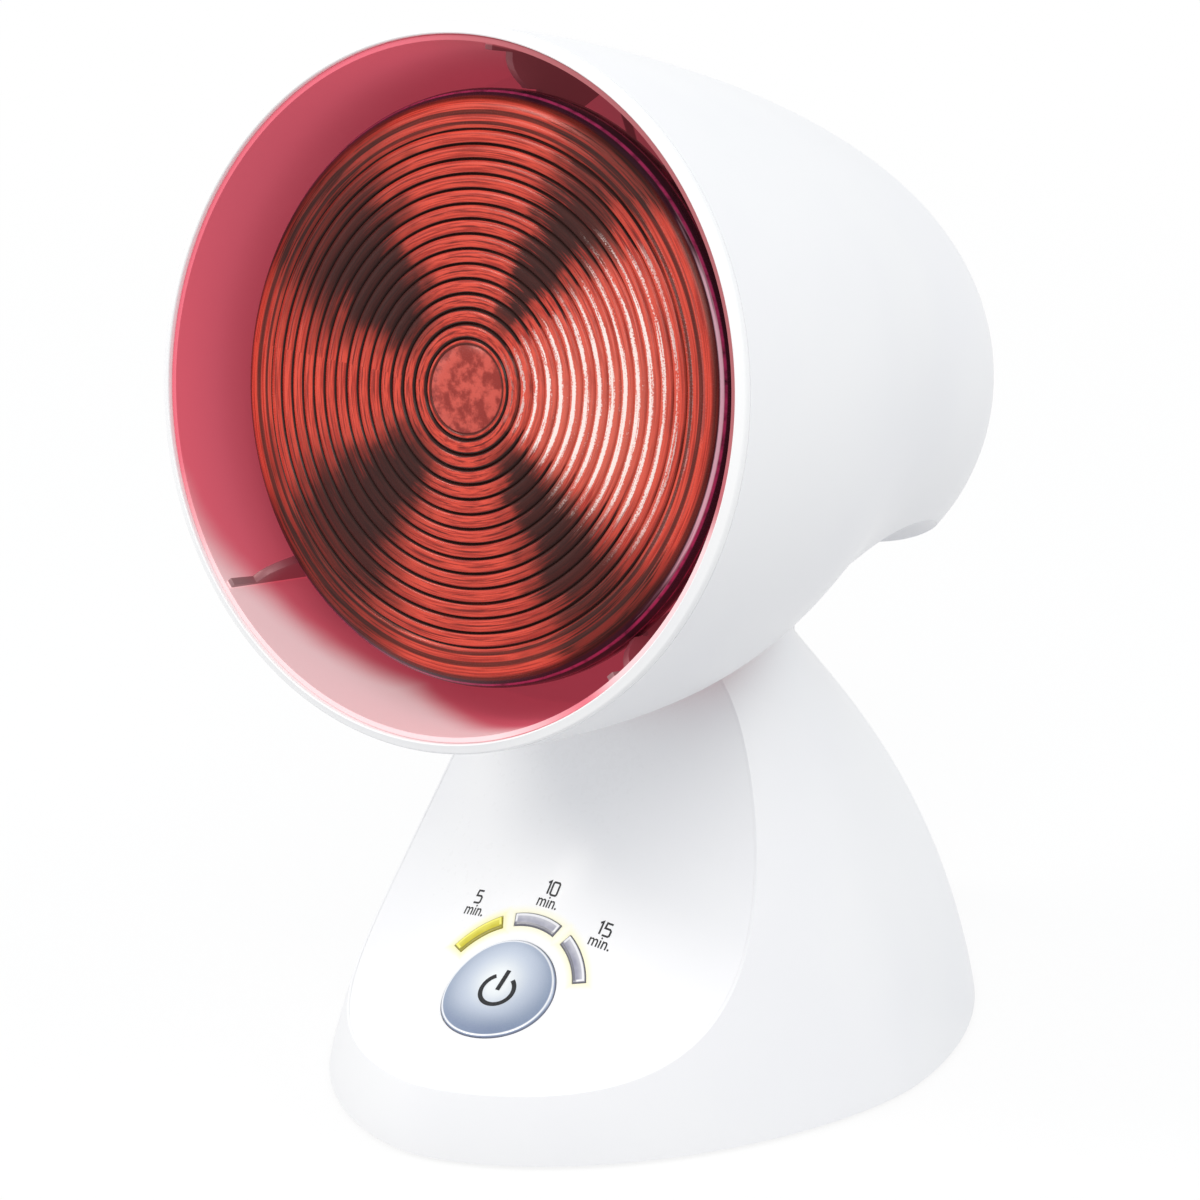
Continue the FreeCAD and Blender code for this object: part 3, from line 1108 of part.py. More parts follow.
def lamp_nodes():
    five, ten, fifteen = window_angles()
    return {
        "foot_shell": foot_shell(),
        "control_panel": control_panel(),
        "timer_window_5": timer_window(five),
        "timer_window_10": timer_window(ten),
        "timer_window_15": timer_window(fifteen),
        "indicator_leds": indicator_leds(),
        "circuit_board": circuit_board(),
        "board_screws": board_screws(),
        "tact_switch": tact_switch(),
        "relay": relay(),
        "film_capacitor": film_capacitor(),
        "base_plate": base_plate(),
        "base_screws": base_screws(),
        "rubber_feet": rubber_feet(),
        "terminal_block": terminal_block(),
        "inlet_bush": inlet_bush(),
        "pivot_bolt": pivot_bolt(),
        "pivot_nut": pivot_nut(),
        "friction_washers": friction_washers(),
        "detent_disc": detent_disc(),
        "power_button": power_button(),
        "switch_plunger": switch_plunger(),
        "head_shell": head_shell(),
        "front_ring": front_ring(),
        "shade_liner": shade_liner(),
        "heat_shield": heat_shield(),
        "hinge_bracket_left": hinge_bracket_left(),
        "hinge_bracket_right": hinge_bracket_right(),
        "hinge_screws": hinge_screws(),
        "detent_spring": detent_spring(),
        "bulb_lens": bulb_lens(),
        "bulb_reflector": bulb_reflector(),
        "bulb_cap": bulb_cap(),
        "cap_insulator": cap_insulator(),
        "cap_contact": cap_contact(),
        "bulb_stem": bulb_stem(),
        "filament": filament(),
        "filament_leads": filament_leads(),
        "lampholder": lampholder(),
        "screw_shell": screw_shell(),
        "centre_contact": centre_contact(),
        "holder_bracket": holder_bracket(),
        "holder_screws": holder_screws(),
    }


os.makedirs("parts", exist_ok=True)
for name, shape in lamp_nodes().items():
    shape.exportStep("parts/" + name + ".step")
    print(name, "solids", len(shape.Solids), "valid", shape.isValid(), "volume", round(shape.Volume, 1))
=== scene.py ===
# %% [markdown]
# # An infrared heat therapy lamp
# The lamp is a bell-shaped head on a domed foot. A big pressed-glass bulb fills the head, and a
# slanted panel on the foot holds one round button and three timer windows. The CAD model already
# fixes every size, so this lesson dresses it: it models the moulded shells and the glass finely
# enough to look smooth, and mixes a finish for each piece.

# %% Open the CAD model
from math import atan2, copysign, cos, degrees, exp, radians, sin, sqrt
import bpy
from mathutils import Matrix, Vector


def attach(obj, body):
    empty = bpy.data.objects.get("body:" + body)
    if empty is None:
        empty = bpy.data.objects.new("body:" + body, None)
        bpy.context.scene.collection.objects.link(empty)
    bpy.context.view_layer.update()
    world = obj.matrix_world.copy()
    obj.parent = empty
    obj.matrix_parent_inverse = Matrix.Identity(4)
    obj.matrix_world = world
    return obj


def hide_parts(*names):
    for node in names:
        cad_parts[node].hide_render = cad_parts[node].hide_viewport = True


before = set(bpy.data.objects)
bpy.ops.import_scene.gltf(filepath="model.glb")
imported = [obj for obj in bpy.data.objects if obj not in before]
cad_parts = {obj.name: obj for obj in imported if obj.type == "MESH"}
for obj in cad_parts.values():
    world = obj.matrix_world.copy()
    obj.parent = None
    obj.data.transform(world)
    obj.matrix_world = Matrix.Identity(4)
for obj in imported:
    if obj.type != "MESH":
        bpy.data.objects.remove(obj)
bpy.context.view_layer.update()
bpy.ops.object.select_all(action="DESELECT")
print("CAD nodes:", len(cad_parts))

# %% [markdown]
# ## Two drawing boards
# The head leans back a little and the panel slopes, so both are easier to draw flat. Each piece is
# drawn in millimetres on its own board, and a matrix then carries it into place. On the head's
# board z runs back along the lamp's axis and y runs down. On the panel's board y runs up the
# slope and z points out of the panel, with the button in the middle.

# %% Set up the drawing boards
MM = 0.001
TILT = 12.24
SLOPE = 33.0
HINGE = Vector((0, 12.0, 110.0))
HINGE_DROP, HINGE_BACK = 32.5, 94.5

head_turn = Matrix.Rotation(radians(-(90 + TILT)), 4, "X")
mouth = HINGE - head_turn @ Vector((0, HINGE_DROP, HINGE_BACK))
button_centre = Vector((0, -56.7, 26.4))

ROW = Matrix.Scale(MM, 4)
HEAD = ROW @ Matrix.Translation(mouth) @ head_turn
PANEL = ROW @ Matrix.Translation(button_centre) @ Matrix.Rotation(radians(SLOPE), 4, "X")
print("mouth centre in mm:", [round(value, 2) for value in mouth])

# %% [markdown]
# ## Camera
# A long lens from well back keeps the bell from looking stretched. The camera stands to the right
# of the lamp, a little above it.

# %% Place the camera
CAMERA_DISTANCE, AIM_HEIGHT, AIM_SHIFT = 1.2, 0.0977, 0.01249
azimuth, height_angle = radians(36.67), radians(18.606)
towards_camera = Vector((sin(azimuth) * cos(height_angle),
                         -cos(azimuth) * cos(height_angle), sin(height_angle)))
across = Vector((cos(azimuth), sin(azimuth), 0))
target = Vector((0, 0, AIM_HEIGHT)) - AIM_SHIFT * across
bpy.ops.object.camera_add(location=target + CAMERA_DISTANCE * towards_camera,
                          rotation=(-towards_camera).to_track_quat("-Z", "Y").to_euler())
camera = bpy.context.object
camera.data.sensor_width = 36
camera.data.lens = 168.86
camera.data.clip_start = 0.05
bpy.context.scene.camera = camera
print("camera at", [round(value, 3) for value in camera.location])

# %% [markdown]
# ## Modelling by pulling rings
# Most of the lamp is round: the bell, its bezel, the shade, the glass. A potter would throw such
# a shape. In Blender one circle is enough: its edge is extruded to the next station, scaled to
# the next radius, and so on along the outline.

# %% Tools that pull a ring along an outline
def activate(piece):
    """Select one piece alone, for the operators that follow."""
    bpy.ops.object.select_all(action="DESELECT")
    piece.select_set(True)
    bpy.context.view_layer.objects.active = piece


def newest(name):
    """Name the piece that the last operator added."""
    piece = bpy.context.object
    piece.name = piece.data.name = name
    return piece


def open_up():
    """Enter edit mode with everything selected."""
    bpy.ops.object.mode_set(mode="EDIT")
    bpy.ops.mesh.select_all(action="SELECT")


def close_up():
    """Leave edit mode with every face pointing outwards."""
    bpy.ops.mesh.select_all(action="SELECT")
    bpy.ops.mesh.normals_make_consistent(inside=False)
    bpy.ops.object.mode_set(mode="OBJECT")


def pull_rings(name, outline, count, closed=False):
    """Pull a circle along (radius, station) or (radius, station, drop) points; closed joins the ends."""
    points = [(*point, 0)[:3] for point in outline]
    radius, station, drop = points[0]
    bpy.ops.mesh.primitive_circle_add(vertices=count, radius=radius, location=(0, drop, station))
    piece = newest(name)
    bpy.ops.object.transform_apply(location=True, rotation=False, scale=False)
    open_up()
    for next_radius, next_station, next_drop in points[1:] + (points[:1] if closed else []):
        move = (0, next_drop - drop, next_station - station)
        bpy.ops.mesh.extrude_edges_move(TRANSFORM_OT_translate={"value": move})
        share = next_radius / radius
        bpy.ops.transform.resize(value=(share, share, 1), center_override=(0, next_drop, next_station))
        radius, station, drop = next_radius, next_station, next_drop
    bpy.ops.mesh.select_all(action="SELECT")
    bpy.ops.mesh.remove_doubles(threshold=0.002)
    bpy.ops.mesh.fill_holes(sides=0)
    close_up()
    return piece


def corner(radius, station, size, start, end, steps):
    """Points of a rounded corner about a centre, between two angles in degrees."""
    points = []
    for step in range(steps + 1):
        angle = radians(start + (end - start) * step / steps)
        points.append((radius + size * cos(angle), station + size * sin(angle)))
    return points


# %% [markdown]
# ## Modelling by cutting plates
# Fins, light windows and printed signs are flat shapes with a thickness. Each starts as a disc
# with as many corners as its outline. The corners are moved onto the outline, and the face is
# extruded. Boolean modifiers then do what a milling cutter does.

# %% Tools that cut plates and carve
def thicken(depth):
    """Extrude the active flat piece upwards into a solid."""
    open_up()
    bpy.ops.mesh.extrude_region_move(TRANSFORM_OT_translate={"value": (0, 0, depth)})
    close_up()


def cut_plate(name, outline, low, high):
    """Flat piece with the given (x, y) outline between two heights."""
    bpy.ops.mesh.primitive_circle_add(vertices=len(outline), radius=1, fill_type="NGON")
    piece = newest(name)
    for vertex, (x, y) in zip(piece.data.vertices, outline):
        vertex.co = (x, y, low)
    thicken(high - low)
    return piece


def drum(name, radius, length, centre, axis, count):
    """Cylinder on one of the board's axes, used as a cutter or as the start of a boss."""
    quarter = radians(90)
    turn = {"X": (0, quarter, 0), "Y": (quarter, 0, 0), "Z": (0, 0, 0)}[axis]
    bpy.ops.mesh.primitive_cylinder_add(vertices=count, radius=radius, depth=length, location=centre,
                                        rotation=turn)
    piece = newest(name)
    bpy.ops.object.transform_apply(location=True, rotation=True, scale=True)
    return piece


def block(name, low, high):
    """Square block between two corners."""
    middle = [(a + b) / 2 for a, b in zip(low, high)]
    bpy.ops.mesh.primitive_cube_add(size=1, location=middle, scale=[b - a for a, b in zip(low, high)])
    piece = newest(name)
    bpy.ops.object.transform_apply(location=True, rotation=True, scale=True)
    return piece


def finish_with(piece, kind, **settings):
    """Add a modifier and apply it at once."""
    activate(piece)
    modifier = piece.modifiers.new(kind.title(), kind)
    for key, value in settings.items():
        setattr(modifier, key, value)
    bpy.ops.object.modifier_apply(modifier=modifier.name)


def carve(piece, cutter, operation="DIFFERENCE"):
    """Boolean that uses its cutter up."""
    finish_with(piece, "BOOLEAN", object=cutter, operation=operation, solver="EXACT")
    bpy.data.objects.remove(cutter)
    return piece


def copy_of(piece, name):
    """A second piece with its own mesh."""
    twin = piece.copy()
    twin.data = piece.data.copy()
    twin.name = twin.data.name = name
    bpy.context.collection.objects.link(twin)
    return twin


def settle(piece, board, body, smooth):
    """Carry a finished piece from its drawing board into the row frame and let it ride."""
    piece.data.transform(board)
    activate(piece)
    bpy.ops.object.shade_smooth_by_angle(angle=radians(smooth))
    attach(piece, body)
    print(piece.name, "faces", len(piece.data.polygons))
    return piece


# %% [markdown]
# ## Mixing finishes
# A finish is a small network of nodes. Written out link by link it is hard to read, so three small
# classes help. A wire stands for a value that can be added and multiplied like a number, a mixer
# makes the nodes of any network, and a finish is the mixer of one material.

# %% Tools that mix a finish
WHITE = (1.0, 1.0, 1.0, 1.0)


def paint(red, green, blue):
    """Colour as seen on a screen, 0 to 255, in the light values that Blender works with."""
    light = []
    for share in (red / 255, green / 255, blue / 255):
        light.append(share / 12.92 if share <= 0.04045 else ((share + 0.055) / 1.055) ** 2.4)
    return (*light, 1.0)


class Wire:
    """A value that runs along a wire between nodes, with arithmetic."""

    def __init__(self, mixer, socket):
        self.mixer, self.socket = mixer, socket

    def work(self, operation, *others):
        return self.mixer.node("Math", dict(enumerate((self, *others))), operation=operation)

    def __add__(self, other):
        return self.work("ADD", other)

    def __sub__(self, other):
        return self.work("SUBTRACT", other)

    def __rsub__(self, other):
        return self.mixer.node("Math", {0: other, 1: self}, operation="SUBTRACT")

    def __mul__(self, other):
        return self.work("MULTIPLY", other)

    def __truediv__(self, other):
        return self.work("DIVIDE", other)

    def __pow__(self, other):
        return self.work("POWER", other)

    __radd__, __rmul__ = __add__, __mul__

    def __abs__(self):
        return self.work("ABSOLUTE")

    def step(self, low, high):
        """0 below low, 1 above high and a soft ramp between; swapped limits turn it round."""
        start, end = (0.0, 1.0) if low <= high else (1.0, 0.0)
        limits = {1: min(low, high), 2: max(low, high), 3: start, 4: end}
        return self.mixer.node("MapRange", {0: self, **limits}, interpolation_type="SMOOTHSTEP")

    def near(self, middle, outer, inner):
        """1 within inner of a middle value and 0 further than outer from it."""
        return abs(self - middle).step(outer, inner)


def polar(x, y):
    """Distance from a board's middle, and the angle there in degrees."""
    return (x * x + y * y) ** 0.5, y.work("ARCTAN2", x) * degrees(1)


class Mixer:
    """Makes and links the nodes of one network."""

    def __init__(self, tree):
        self.tree = tree

    def node(self, kind, inputs=None, output=0, **settings):
        made = self.tree.nodes.new("ShaderNode" + kind)
        for key, value in settings.items():
            setattr(made, key, value)
        for key, value in (inputs or {}).items():
            if isinstance(value, Wire):
                self.tree.links.new(value.socket, made.inputs[key])
            else:
                made.inputs[key].default_value = value
        return Wire(self, made.outputs[output])

    def backdrop_rays(self):
        """1 for a ray that shows the backdrop: straight to the camera, mirrored or through glass."""
        path = self.node("LightPath").socket.node
        seen = Wire(self, path.outputs["Is Camera Ray"])
        for kind in ("Glossy", "Transmission"):
            seen = seen.work("MAXIMUM", Wire(self, path.outputs[f"Is {kind} Ray"]))
        return seen

    def end_with(self, shader, output):
        """Link a finished shader to the network's output node."""
        self.tree.links.new(shader.socket, self.tree.nodes[output].inputs["Surface"])


class Finish(Mixer):
    """One material: a Principled surface and the nodes that feed it."""

    def __init__(self, name, **constants):
        self.material = bpy.data.materials.new(name)
        self.material.use_nodes = True
        super().__init__(self.material.node_tree)
        self.surface = self.tree.nodes["Principled BSDF"]
        for key, value in constants.items():
            self.surface.inputs[key.replace("_", " ")].default_value = value

    def place(self, board=ROW):
        """Where the surface point is, in millimetres on a drawing board."""
        here = self.node("TexCoord", output=3)
        where, turn, size = board.decompose()
        return self.node("Mapping", {0: here, 1: where, 2: turn.to_euler(), 3: size}, vector_type="TEXTURE")

    def split(self, vector):
        node = self.node("SeparateXYZ", {0: vector}).socket.node
        return [Wire(self, node.outputs[index]) for index in range(3)]

    def noise(self, vector, size, detail, rough=0.5):
        """Cloudy noise whose clouds are about size millimetres across."""
        return self.node("TexNoise", {0: vector, 2: 1 / size, 3: detail, 4: rough})

    def blend(self, share, first, second):
        return self.node("Mix", {0: share, 6: first, 7: second}, output=2, data_type="RGBA")

    def feed(self, name, value):
        self.tree.links.new(value.socket, self.surface.inputs[name])

    def colour(self, value):
        self.tone = value
        self.feed("Base Color", value)

    def cover(self, share, tone):
        """Lay one more colour over the surface's colour so far."""
        self.colour(self.blend(share, self.tone, tone))

    def bump(self, height, strength, distance):
        self.feed("Normal", self.node("Bump", {"Strength": strength, "Distance": distance, "Height": height}))


def wear(piece, mix):
    """Put a finish on a piece."""
    piece.data.materials.clear()
    piece.data.materials.append(mix.material)


# %% [markdown]
# ## White shells
# The shells are moulded in white ABS and polished: nearly white, a little cool, with a soft gloss
# and the faintest orange peel that only shows in reflections. A flat white would look like paper,
# so slow clouds change the colour and the gloss by a few percent.

# %% Mix the white plastics
def white_plastic(name, tone, gloss=0.26):
    mix = Finish(name, IOR=1.45, Specular_IOR_Level=0.25, Coat_Roughness=0.12)
    here = mix.place()
    clouds = mix.noise(here, 55.0, 2.0)
    grain = mix.noise(here, 1.4, 2.0)
    cool = tuple(value * 0.975 for value in tone[:2]) + (tone[2] * 0.985, 1.0)
    mix.colour(mix.blend(clouds.step(0.35, 0.7), tone, cool))
    mix.feed("Roughness", gloss + 0.05 * clouds + 0.04 * grain)
    mix.feed("Coat Weight", 0.04 + 0.05 * clouds)
    mix.bump(grain, 0.02, 0.00006)
    return mix


shell_white = white_plastic("polished_white_abs", paint(250, 250, 251))
bezel_white = white_plastic("bezel_white_abs", paint(252, 252, 252), 0.2)

# %% [markdown]
# ## Bell
# The bell starts as rings whose radius follows the moulded outline. Its underside is drawn up
# towards the hinge, so each ring also moves up a little as it shrinks. A drum across the bell
# carves the scoop that clears the foot, and a second, larger drum carves the inner form, so the
# scoop keeps its wall.

# %% Model the bell
BELL_LENGTH, BELL_STATIONS, RIM, WALL = 159.0, 46, 73.0, 2.0
BELL_POWER, BELL_ROOT, BELL_LAST_ANGLE = 1.5, 3.33, 88.5
LIFT, LIFT_STATION, LIFT_SPREAD = 5.5, 98.0, 30.0
SCOOP_RADIUS, SCOOP_DROP, SCOOP_BACK = 38.0, 61.2, 120.0
RING_DEPTH, TONGUE_END, LINER_SEAT, TONGUE_RADIUS = 2.0, 4.7, 5.6, 71.8


def bell_outline(inset, start):
    """Rings of the bell moved inwards by inset; they stand closer towards the back, where it curves most."""
    shrink = (BELL_LENGTH - inset) / BELL_LENGTH
    outline = []
    for step in range(BELL_STATIONS + 1):
        station = start + (BELL_LENGTH * shrink - start) * sin(radians(BELL_LAST_ANGLE) * step / BELL_STATIONS)
        reference = station / shrink
        lift = LIFT * exp(-((reference - LIFT_STATION) / LIFT_SPREAD) ** 2)
        radius = RIM * (1 - (reference / BELL_LENGTH) ** BELL_POWER) ** (1 / BELL_ROOT)
        outline.append((radius - inset - lift, station, -lift))
    return outline


def scoop_drum(grow):
    """Cutter of the scoop under the bell, grown all round."""
    return drum("scoop_drum", SCOOP_RADIUS + grow, 300, (0, SCOOP_DROP, SCOOP_BACK), "X", 240)


bell = carve(pull_rings("bell", bell_outline(0, RING_DEPTH), 192), scoop_drum(0))
carve(bell, carve(pull_rings("bell_hollow", bell_outline(WALL, 0), 192), scoop_drum(WALL)))
carve(bell, drum("mouth_rebate", TONGUE_RADIUS + 0.1, LINER_SEAT, (0, 0, LINER_SEAT / 2), "Z", 192))

# %% [markdown]
# The neck of the foot reaches into the bell through a slot with rounded corners, and warm air
# leaves through five narrow vents in the back. Four short bosses carry the hinge brackets and two
# longer ones the lampholder's bracket.

# %% Cut the slot and vents and add the bosses
def rounded_slot(name, low, high, radius):
    """Upright block with rounded corners, seen along the board's y axis."""
    left, right, front, back = low[0] + radius, high[0] - radius, low[2] + radius, high[2] - radius
    outline = []
    for x, z, start in ((right, back, 0), (left, back, 90), (left, front, 180), (right, front, 270)):
        outline += corner(x, z, radius, start, start + 90, 8)
    cutter = cut_plate(name, outline, low[1], high[1])
    swap_y_and_z = Matrix(((1, 0, 0, 0), (0, 0, 1, 0), (0, 1, 0, 0), (0, 0, 0, 1)))
    cutter.data.transform(swap_y_and_z)
    activate(cutter)
    open_up()
    close_up()
    return cutter


OUTER_INSET, BRACKET_X, BRACKET_STATIONS, EAR_X = 0.6, 17.5, (114.8, 124.0), 27.3
VENT_COUNT, VENT_PITCH, VENT_HALF_LENGTH, VENT_HALF_WIDTH = 5, 6.5, 7.8, 1.2
outer_limit = carve(pull_rings("bell_limit", bell_outline(OUTER_INSET, RING_DEPTH), 96), scoop_drum(OUTER_INSET))


def add_boss(boss, hole):
    """Trim a boss to the bell's outside, join it on and drill it."""
    carve(boss, copy_of(outer_limit, "limit"), "INTERSECT")
    carve(bell, boss, "UNION")
    carve(bell, hole)


for x in (-BRACKET_X, BRACKET_X):
    for z in BRACKET_STATIONS:
        add_boss(drum("bracket_boss", 3.2, 8.0, (x, 24.0, z), "Y", 32),
                 drum("screw_hole", 1.6, 3.6, (x, 20.9, z), "Y", 24))
for x in (-EAR_X, EAR_X):
    add_boss(drum("ear_boss", 3.6, 11.8, (x, 0, 153.1), "Z", 32),
             drum("ear_hole", 1.7, 7.0, (x, 0, 148.7), "Z", 24))
bpy.data.objects.remove(outer_limit)
carve(bell, rounded_slot("neck_slot", (-32.5, 0, 64.0), (32.5, 120, 110.0), 6.0))
for number in range(VENT_COUNT):
    x = (number - VENT_COUNT // 2) * VENT_PITCH
    outline = (corner(x, VENT_HALF_LENGTH, VENT_HALF_WIDTH, 0, 180, 6)
               + corner(x, -VENT_HALF_LENGTH, VENT_HALF_WIDTH, 180, 360, 6))
    carve(bell, cut_plate("vent", outline, 154.2, 170))
settle(bell, HEAD, "head", 32)
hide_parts("head_shell")
wear(bell, shell_white)

# %% [markdown]
# ## Bezel
# The mouth is edged by a narrow white ring. It has a rounded outer edge, leans forward a touch
# towards the glass and has a tongue that plugs into the bell.

# %% Model the bezel
bezel_outline = (corner(RIM - 0.8, 0.8, 0.8, 0, -75, 6) + corner(71.3, -0.25, 0.45, -100, -180, 5)
                 + [(70.82, TONGUE_END), (TONGUE_RADIUS, TONGUE_END), (TONGUE_RADIUS, RING_DEPTH + 0.03),
                    (RIM - 0.35, RING_DEPTH + 0.03), (RIM, RING_DEPTH - 0.3)])
bezel = pull_rings("bezel", bezel_outline, 224, closed=True)
settle(bezel, HEAD, "head", 40)
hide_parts("front_ring")
wear(bezel, bezel_white)

# %% [markdown]
# ## Inner shade
# Behind the bezel sits a polished inner shade. It looks crimson because it mirrors the red bulb, and
# here that reflection is painted into its colour, with a painted glow: strongest at the side,
# painted shade darker towards the top right, pale painted reflection where daylight reaches the lower
# front, and painted shade on the fins. A real lamp shows this by reflection alone, but a mix painted
# by place and depth looks right from every side and under any light.

# %% Mix the shade's painted red reflection and glow
FIN_ANGLES = (-90, 45, 135)


def shade_painted_red_glow():
    mix = Finish("shade_painted_red_glow", Metallic=0.2, IOR=1.5, Emission_Strength=0.48)
    here = mix.place(HEAD)
    x, y, z = mix.split(here)
    clouds = mix.noise(here, 24.0, 3.0)
    brushed = mix.noise(mix.node("Mapping", {0: here, 3: (1.0, 1.0, 0.15)}), 1.6, 2.0)
    rose, crimson = paint(203, 92, 108), paint(184, 68, 86)
    maroon, pale, painted_fin_shade = paint(138, 80, 82), paint(226, 198, 200), paint(84, 36, 42)
    radius, turn = polar(x, y)
    # Painted red reflection: rose near the mouth, deeper crimson further in.
    depth = (z + 7.0 * (clouds - 0.5)).step(0.0, 40.0)
    mix.colour(mix.blend(depth * 0.85, rose, crimson))
    # Painted shade: darker maroon towards the top right.
    shadow_side = (x * 0.75 - y * 0.66 + 10.0 * (clouds - 0.5)).step(15.0, 62.0)
    mix.cover(shadow_side * 0.85, maroon)
    # Painted reflection of daylight: pale at the lower front of the shade, and near the mouth by the 45 degree fin.
    edge = z + abs(turn - 104.0) * 0.55 + 6.0 * (clouds - 0.5)
    mix.cover(edge.step(31.0, 18.0) * 0.9, pale)
    mix.cover(turn.near(30.0, 22.0, 12.0) * z.step(9.0, 3.0) * 0.8, pale)
    # Painted shade: the raised fins are painted dark brown.
    for fin in FIN_ANGLES:
        beside = abs(turn - fin) * radians(66)
        raised = (69.7 - 0.1 * z - radius).step(0.1, 0.5)
        mix.cover(beside.step(1.7, 1.1) * raised * 0.8, painted_fin_shade)
    # Painted glow: the shade emits its own painted colour, at the strength set above, in place of the red light it
    # reflects.
    mix.feed("Emission Color", mix.tone)
    mix.feed("Roughness", 0.34 + 0.12 * clouds)
    mix.bump(brushed, 0.06, 0.00008)
    return mix

# %% [markdown]
# The shade is a cone pulled from rings, with a small seating flange, a turned-in floor and three
# fins that centre the bulb. A fin starts as a low rib, steps up in a curve and is notched behind
# the bulb's rim.

# %% Model the inner shade and its fins
shade_outline = [(69.6, 0.3), (70.6, 0.3), (70.15, 4.8), (TONGUE_RADIUS, 4.8), (TONGUE_RADIUS, LINER_SEAT),
                 (70.08, LINER_SEAT), (68.6, 21.0), (67.2, 36.0), (66.4, 44.0), (61.0, 48.4), (48.0, 58.0),
                 (47.5, 57.0), (60.4, 47.6), (65.0, 43.4), (65.5, 42.0), (66.3, 34.0), (67.6, 21.0), (69.1, 6.0)]
shade = pull_rings("inner_shade", shade_outline, 192, closed=True)
fin_outline = ([(68.3, 1.0), (68.1, 8.0)]
               + [(68.1 - 6.6 * share, 8.0 + 6.1 * share ** 2.2) for share in (0.25, 0.5, 0.75, 0.92)]
               + [(61.5, 14.1), (60.9, 14.9), (60.9, 19.5), (59.4, 20.5), (55.7, 31.0), (62.0, 42.5), (65.6, 43.2),
                  (66.2, 38.0), (69.8, 1.0)])
for angle in FIN_ANGLES:
    fin = cut_plate("fin", fin_outline, -0.9, 0.9)
    fin.data.transform(Matrix.Rotation(radians(angle), 4, "Z") @ Matrix.Rotation(radians(90), 4, "X"))
    finish_with(fin, "BEVEL", width=0.2, segments=2, limit_method="ANGLE")
    carve(shade, fin, "UNION")
settle(shade, HEAD, "head", 32)
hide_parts("shade_liner")
wear(shade, shade_painted_red_glow())

# %% [markdown]
# ## Pressed-glass lens
# The front of the bulb is ruby glass pressed in a mould: a plain clouded eye, then ribs about
# three millimetres apart with narrow grooves, then a nearly smooth band. The ribs are real
# geometry, because their grooves catch the light differently all the way round.

# %% Model the ribbed lens
LENS_APEX, LENS_CROWN, LENS_EDGE_RADIUS = 7.6, 2.8, 57.0
RIB_START, RIB_COUNT, RIB_PITCH = 10.2, 14, 3.0
RIB_END = RIB_START + RIB_COUNT * RIB_PITCH


def lens_face(radius):
    """Height of the smooth dome at a radius."""
    return LENS_APEX + LENS_CROWN * (radius / LENS_EDGE_RADIUS) ** 2


def on_lens(*points):
    """Points given by their radius and by how far they lie behind the smooth dome."""
    return [(radius, lens_face(radius) + lift) for radius, lift in points]


def rib_profile():
    """Ribs from the rim inwards: round backs with a narrow groove outside each."""
    rib = ((1.0, 0.5), (0.9, 0.08), (0.7, -0.14), (0.45, -0.18), (0.22, -0.10), (0.1, 0.08))
    return on_lens(*((RIB_START + (number + share) * RIB_PITCH, lift)
                     for number in reversed(range(RIB_COUNT)) for share, lift in rib))


lens_outline = [(55.2, 13.4), (57.0, 15.2), (57.2, 16.05), (60.4, 16.05), (60.5, 15.6), (60.5, 14.3), (60.2, 13.2),
                (59.6, 12.4), (58.6, 11.2), (57.4, 10.55)]
lens_outline += on_lens((56.6, -0.05), (55.4, -0.05), (55.0, 0.1), (54.6, -0.05), (53.2, -0.06), (52.7, 0.1))
lens_outline += rib_profile()
lens_outline += on_lens((10.2, 0.5), (9.8, 0.1), (9.3, 0.05), (9.0, 0.3), (8.6, 0.05), (6.0, 0.0), (3.0, -0.05),
                        (0.8, -0.06))
lens = pull_rings("ruby_lens", lens_outline, 192)
settle(lens, HEAD, "head", 60)
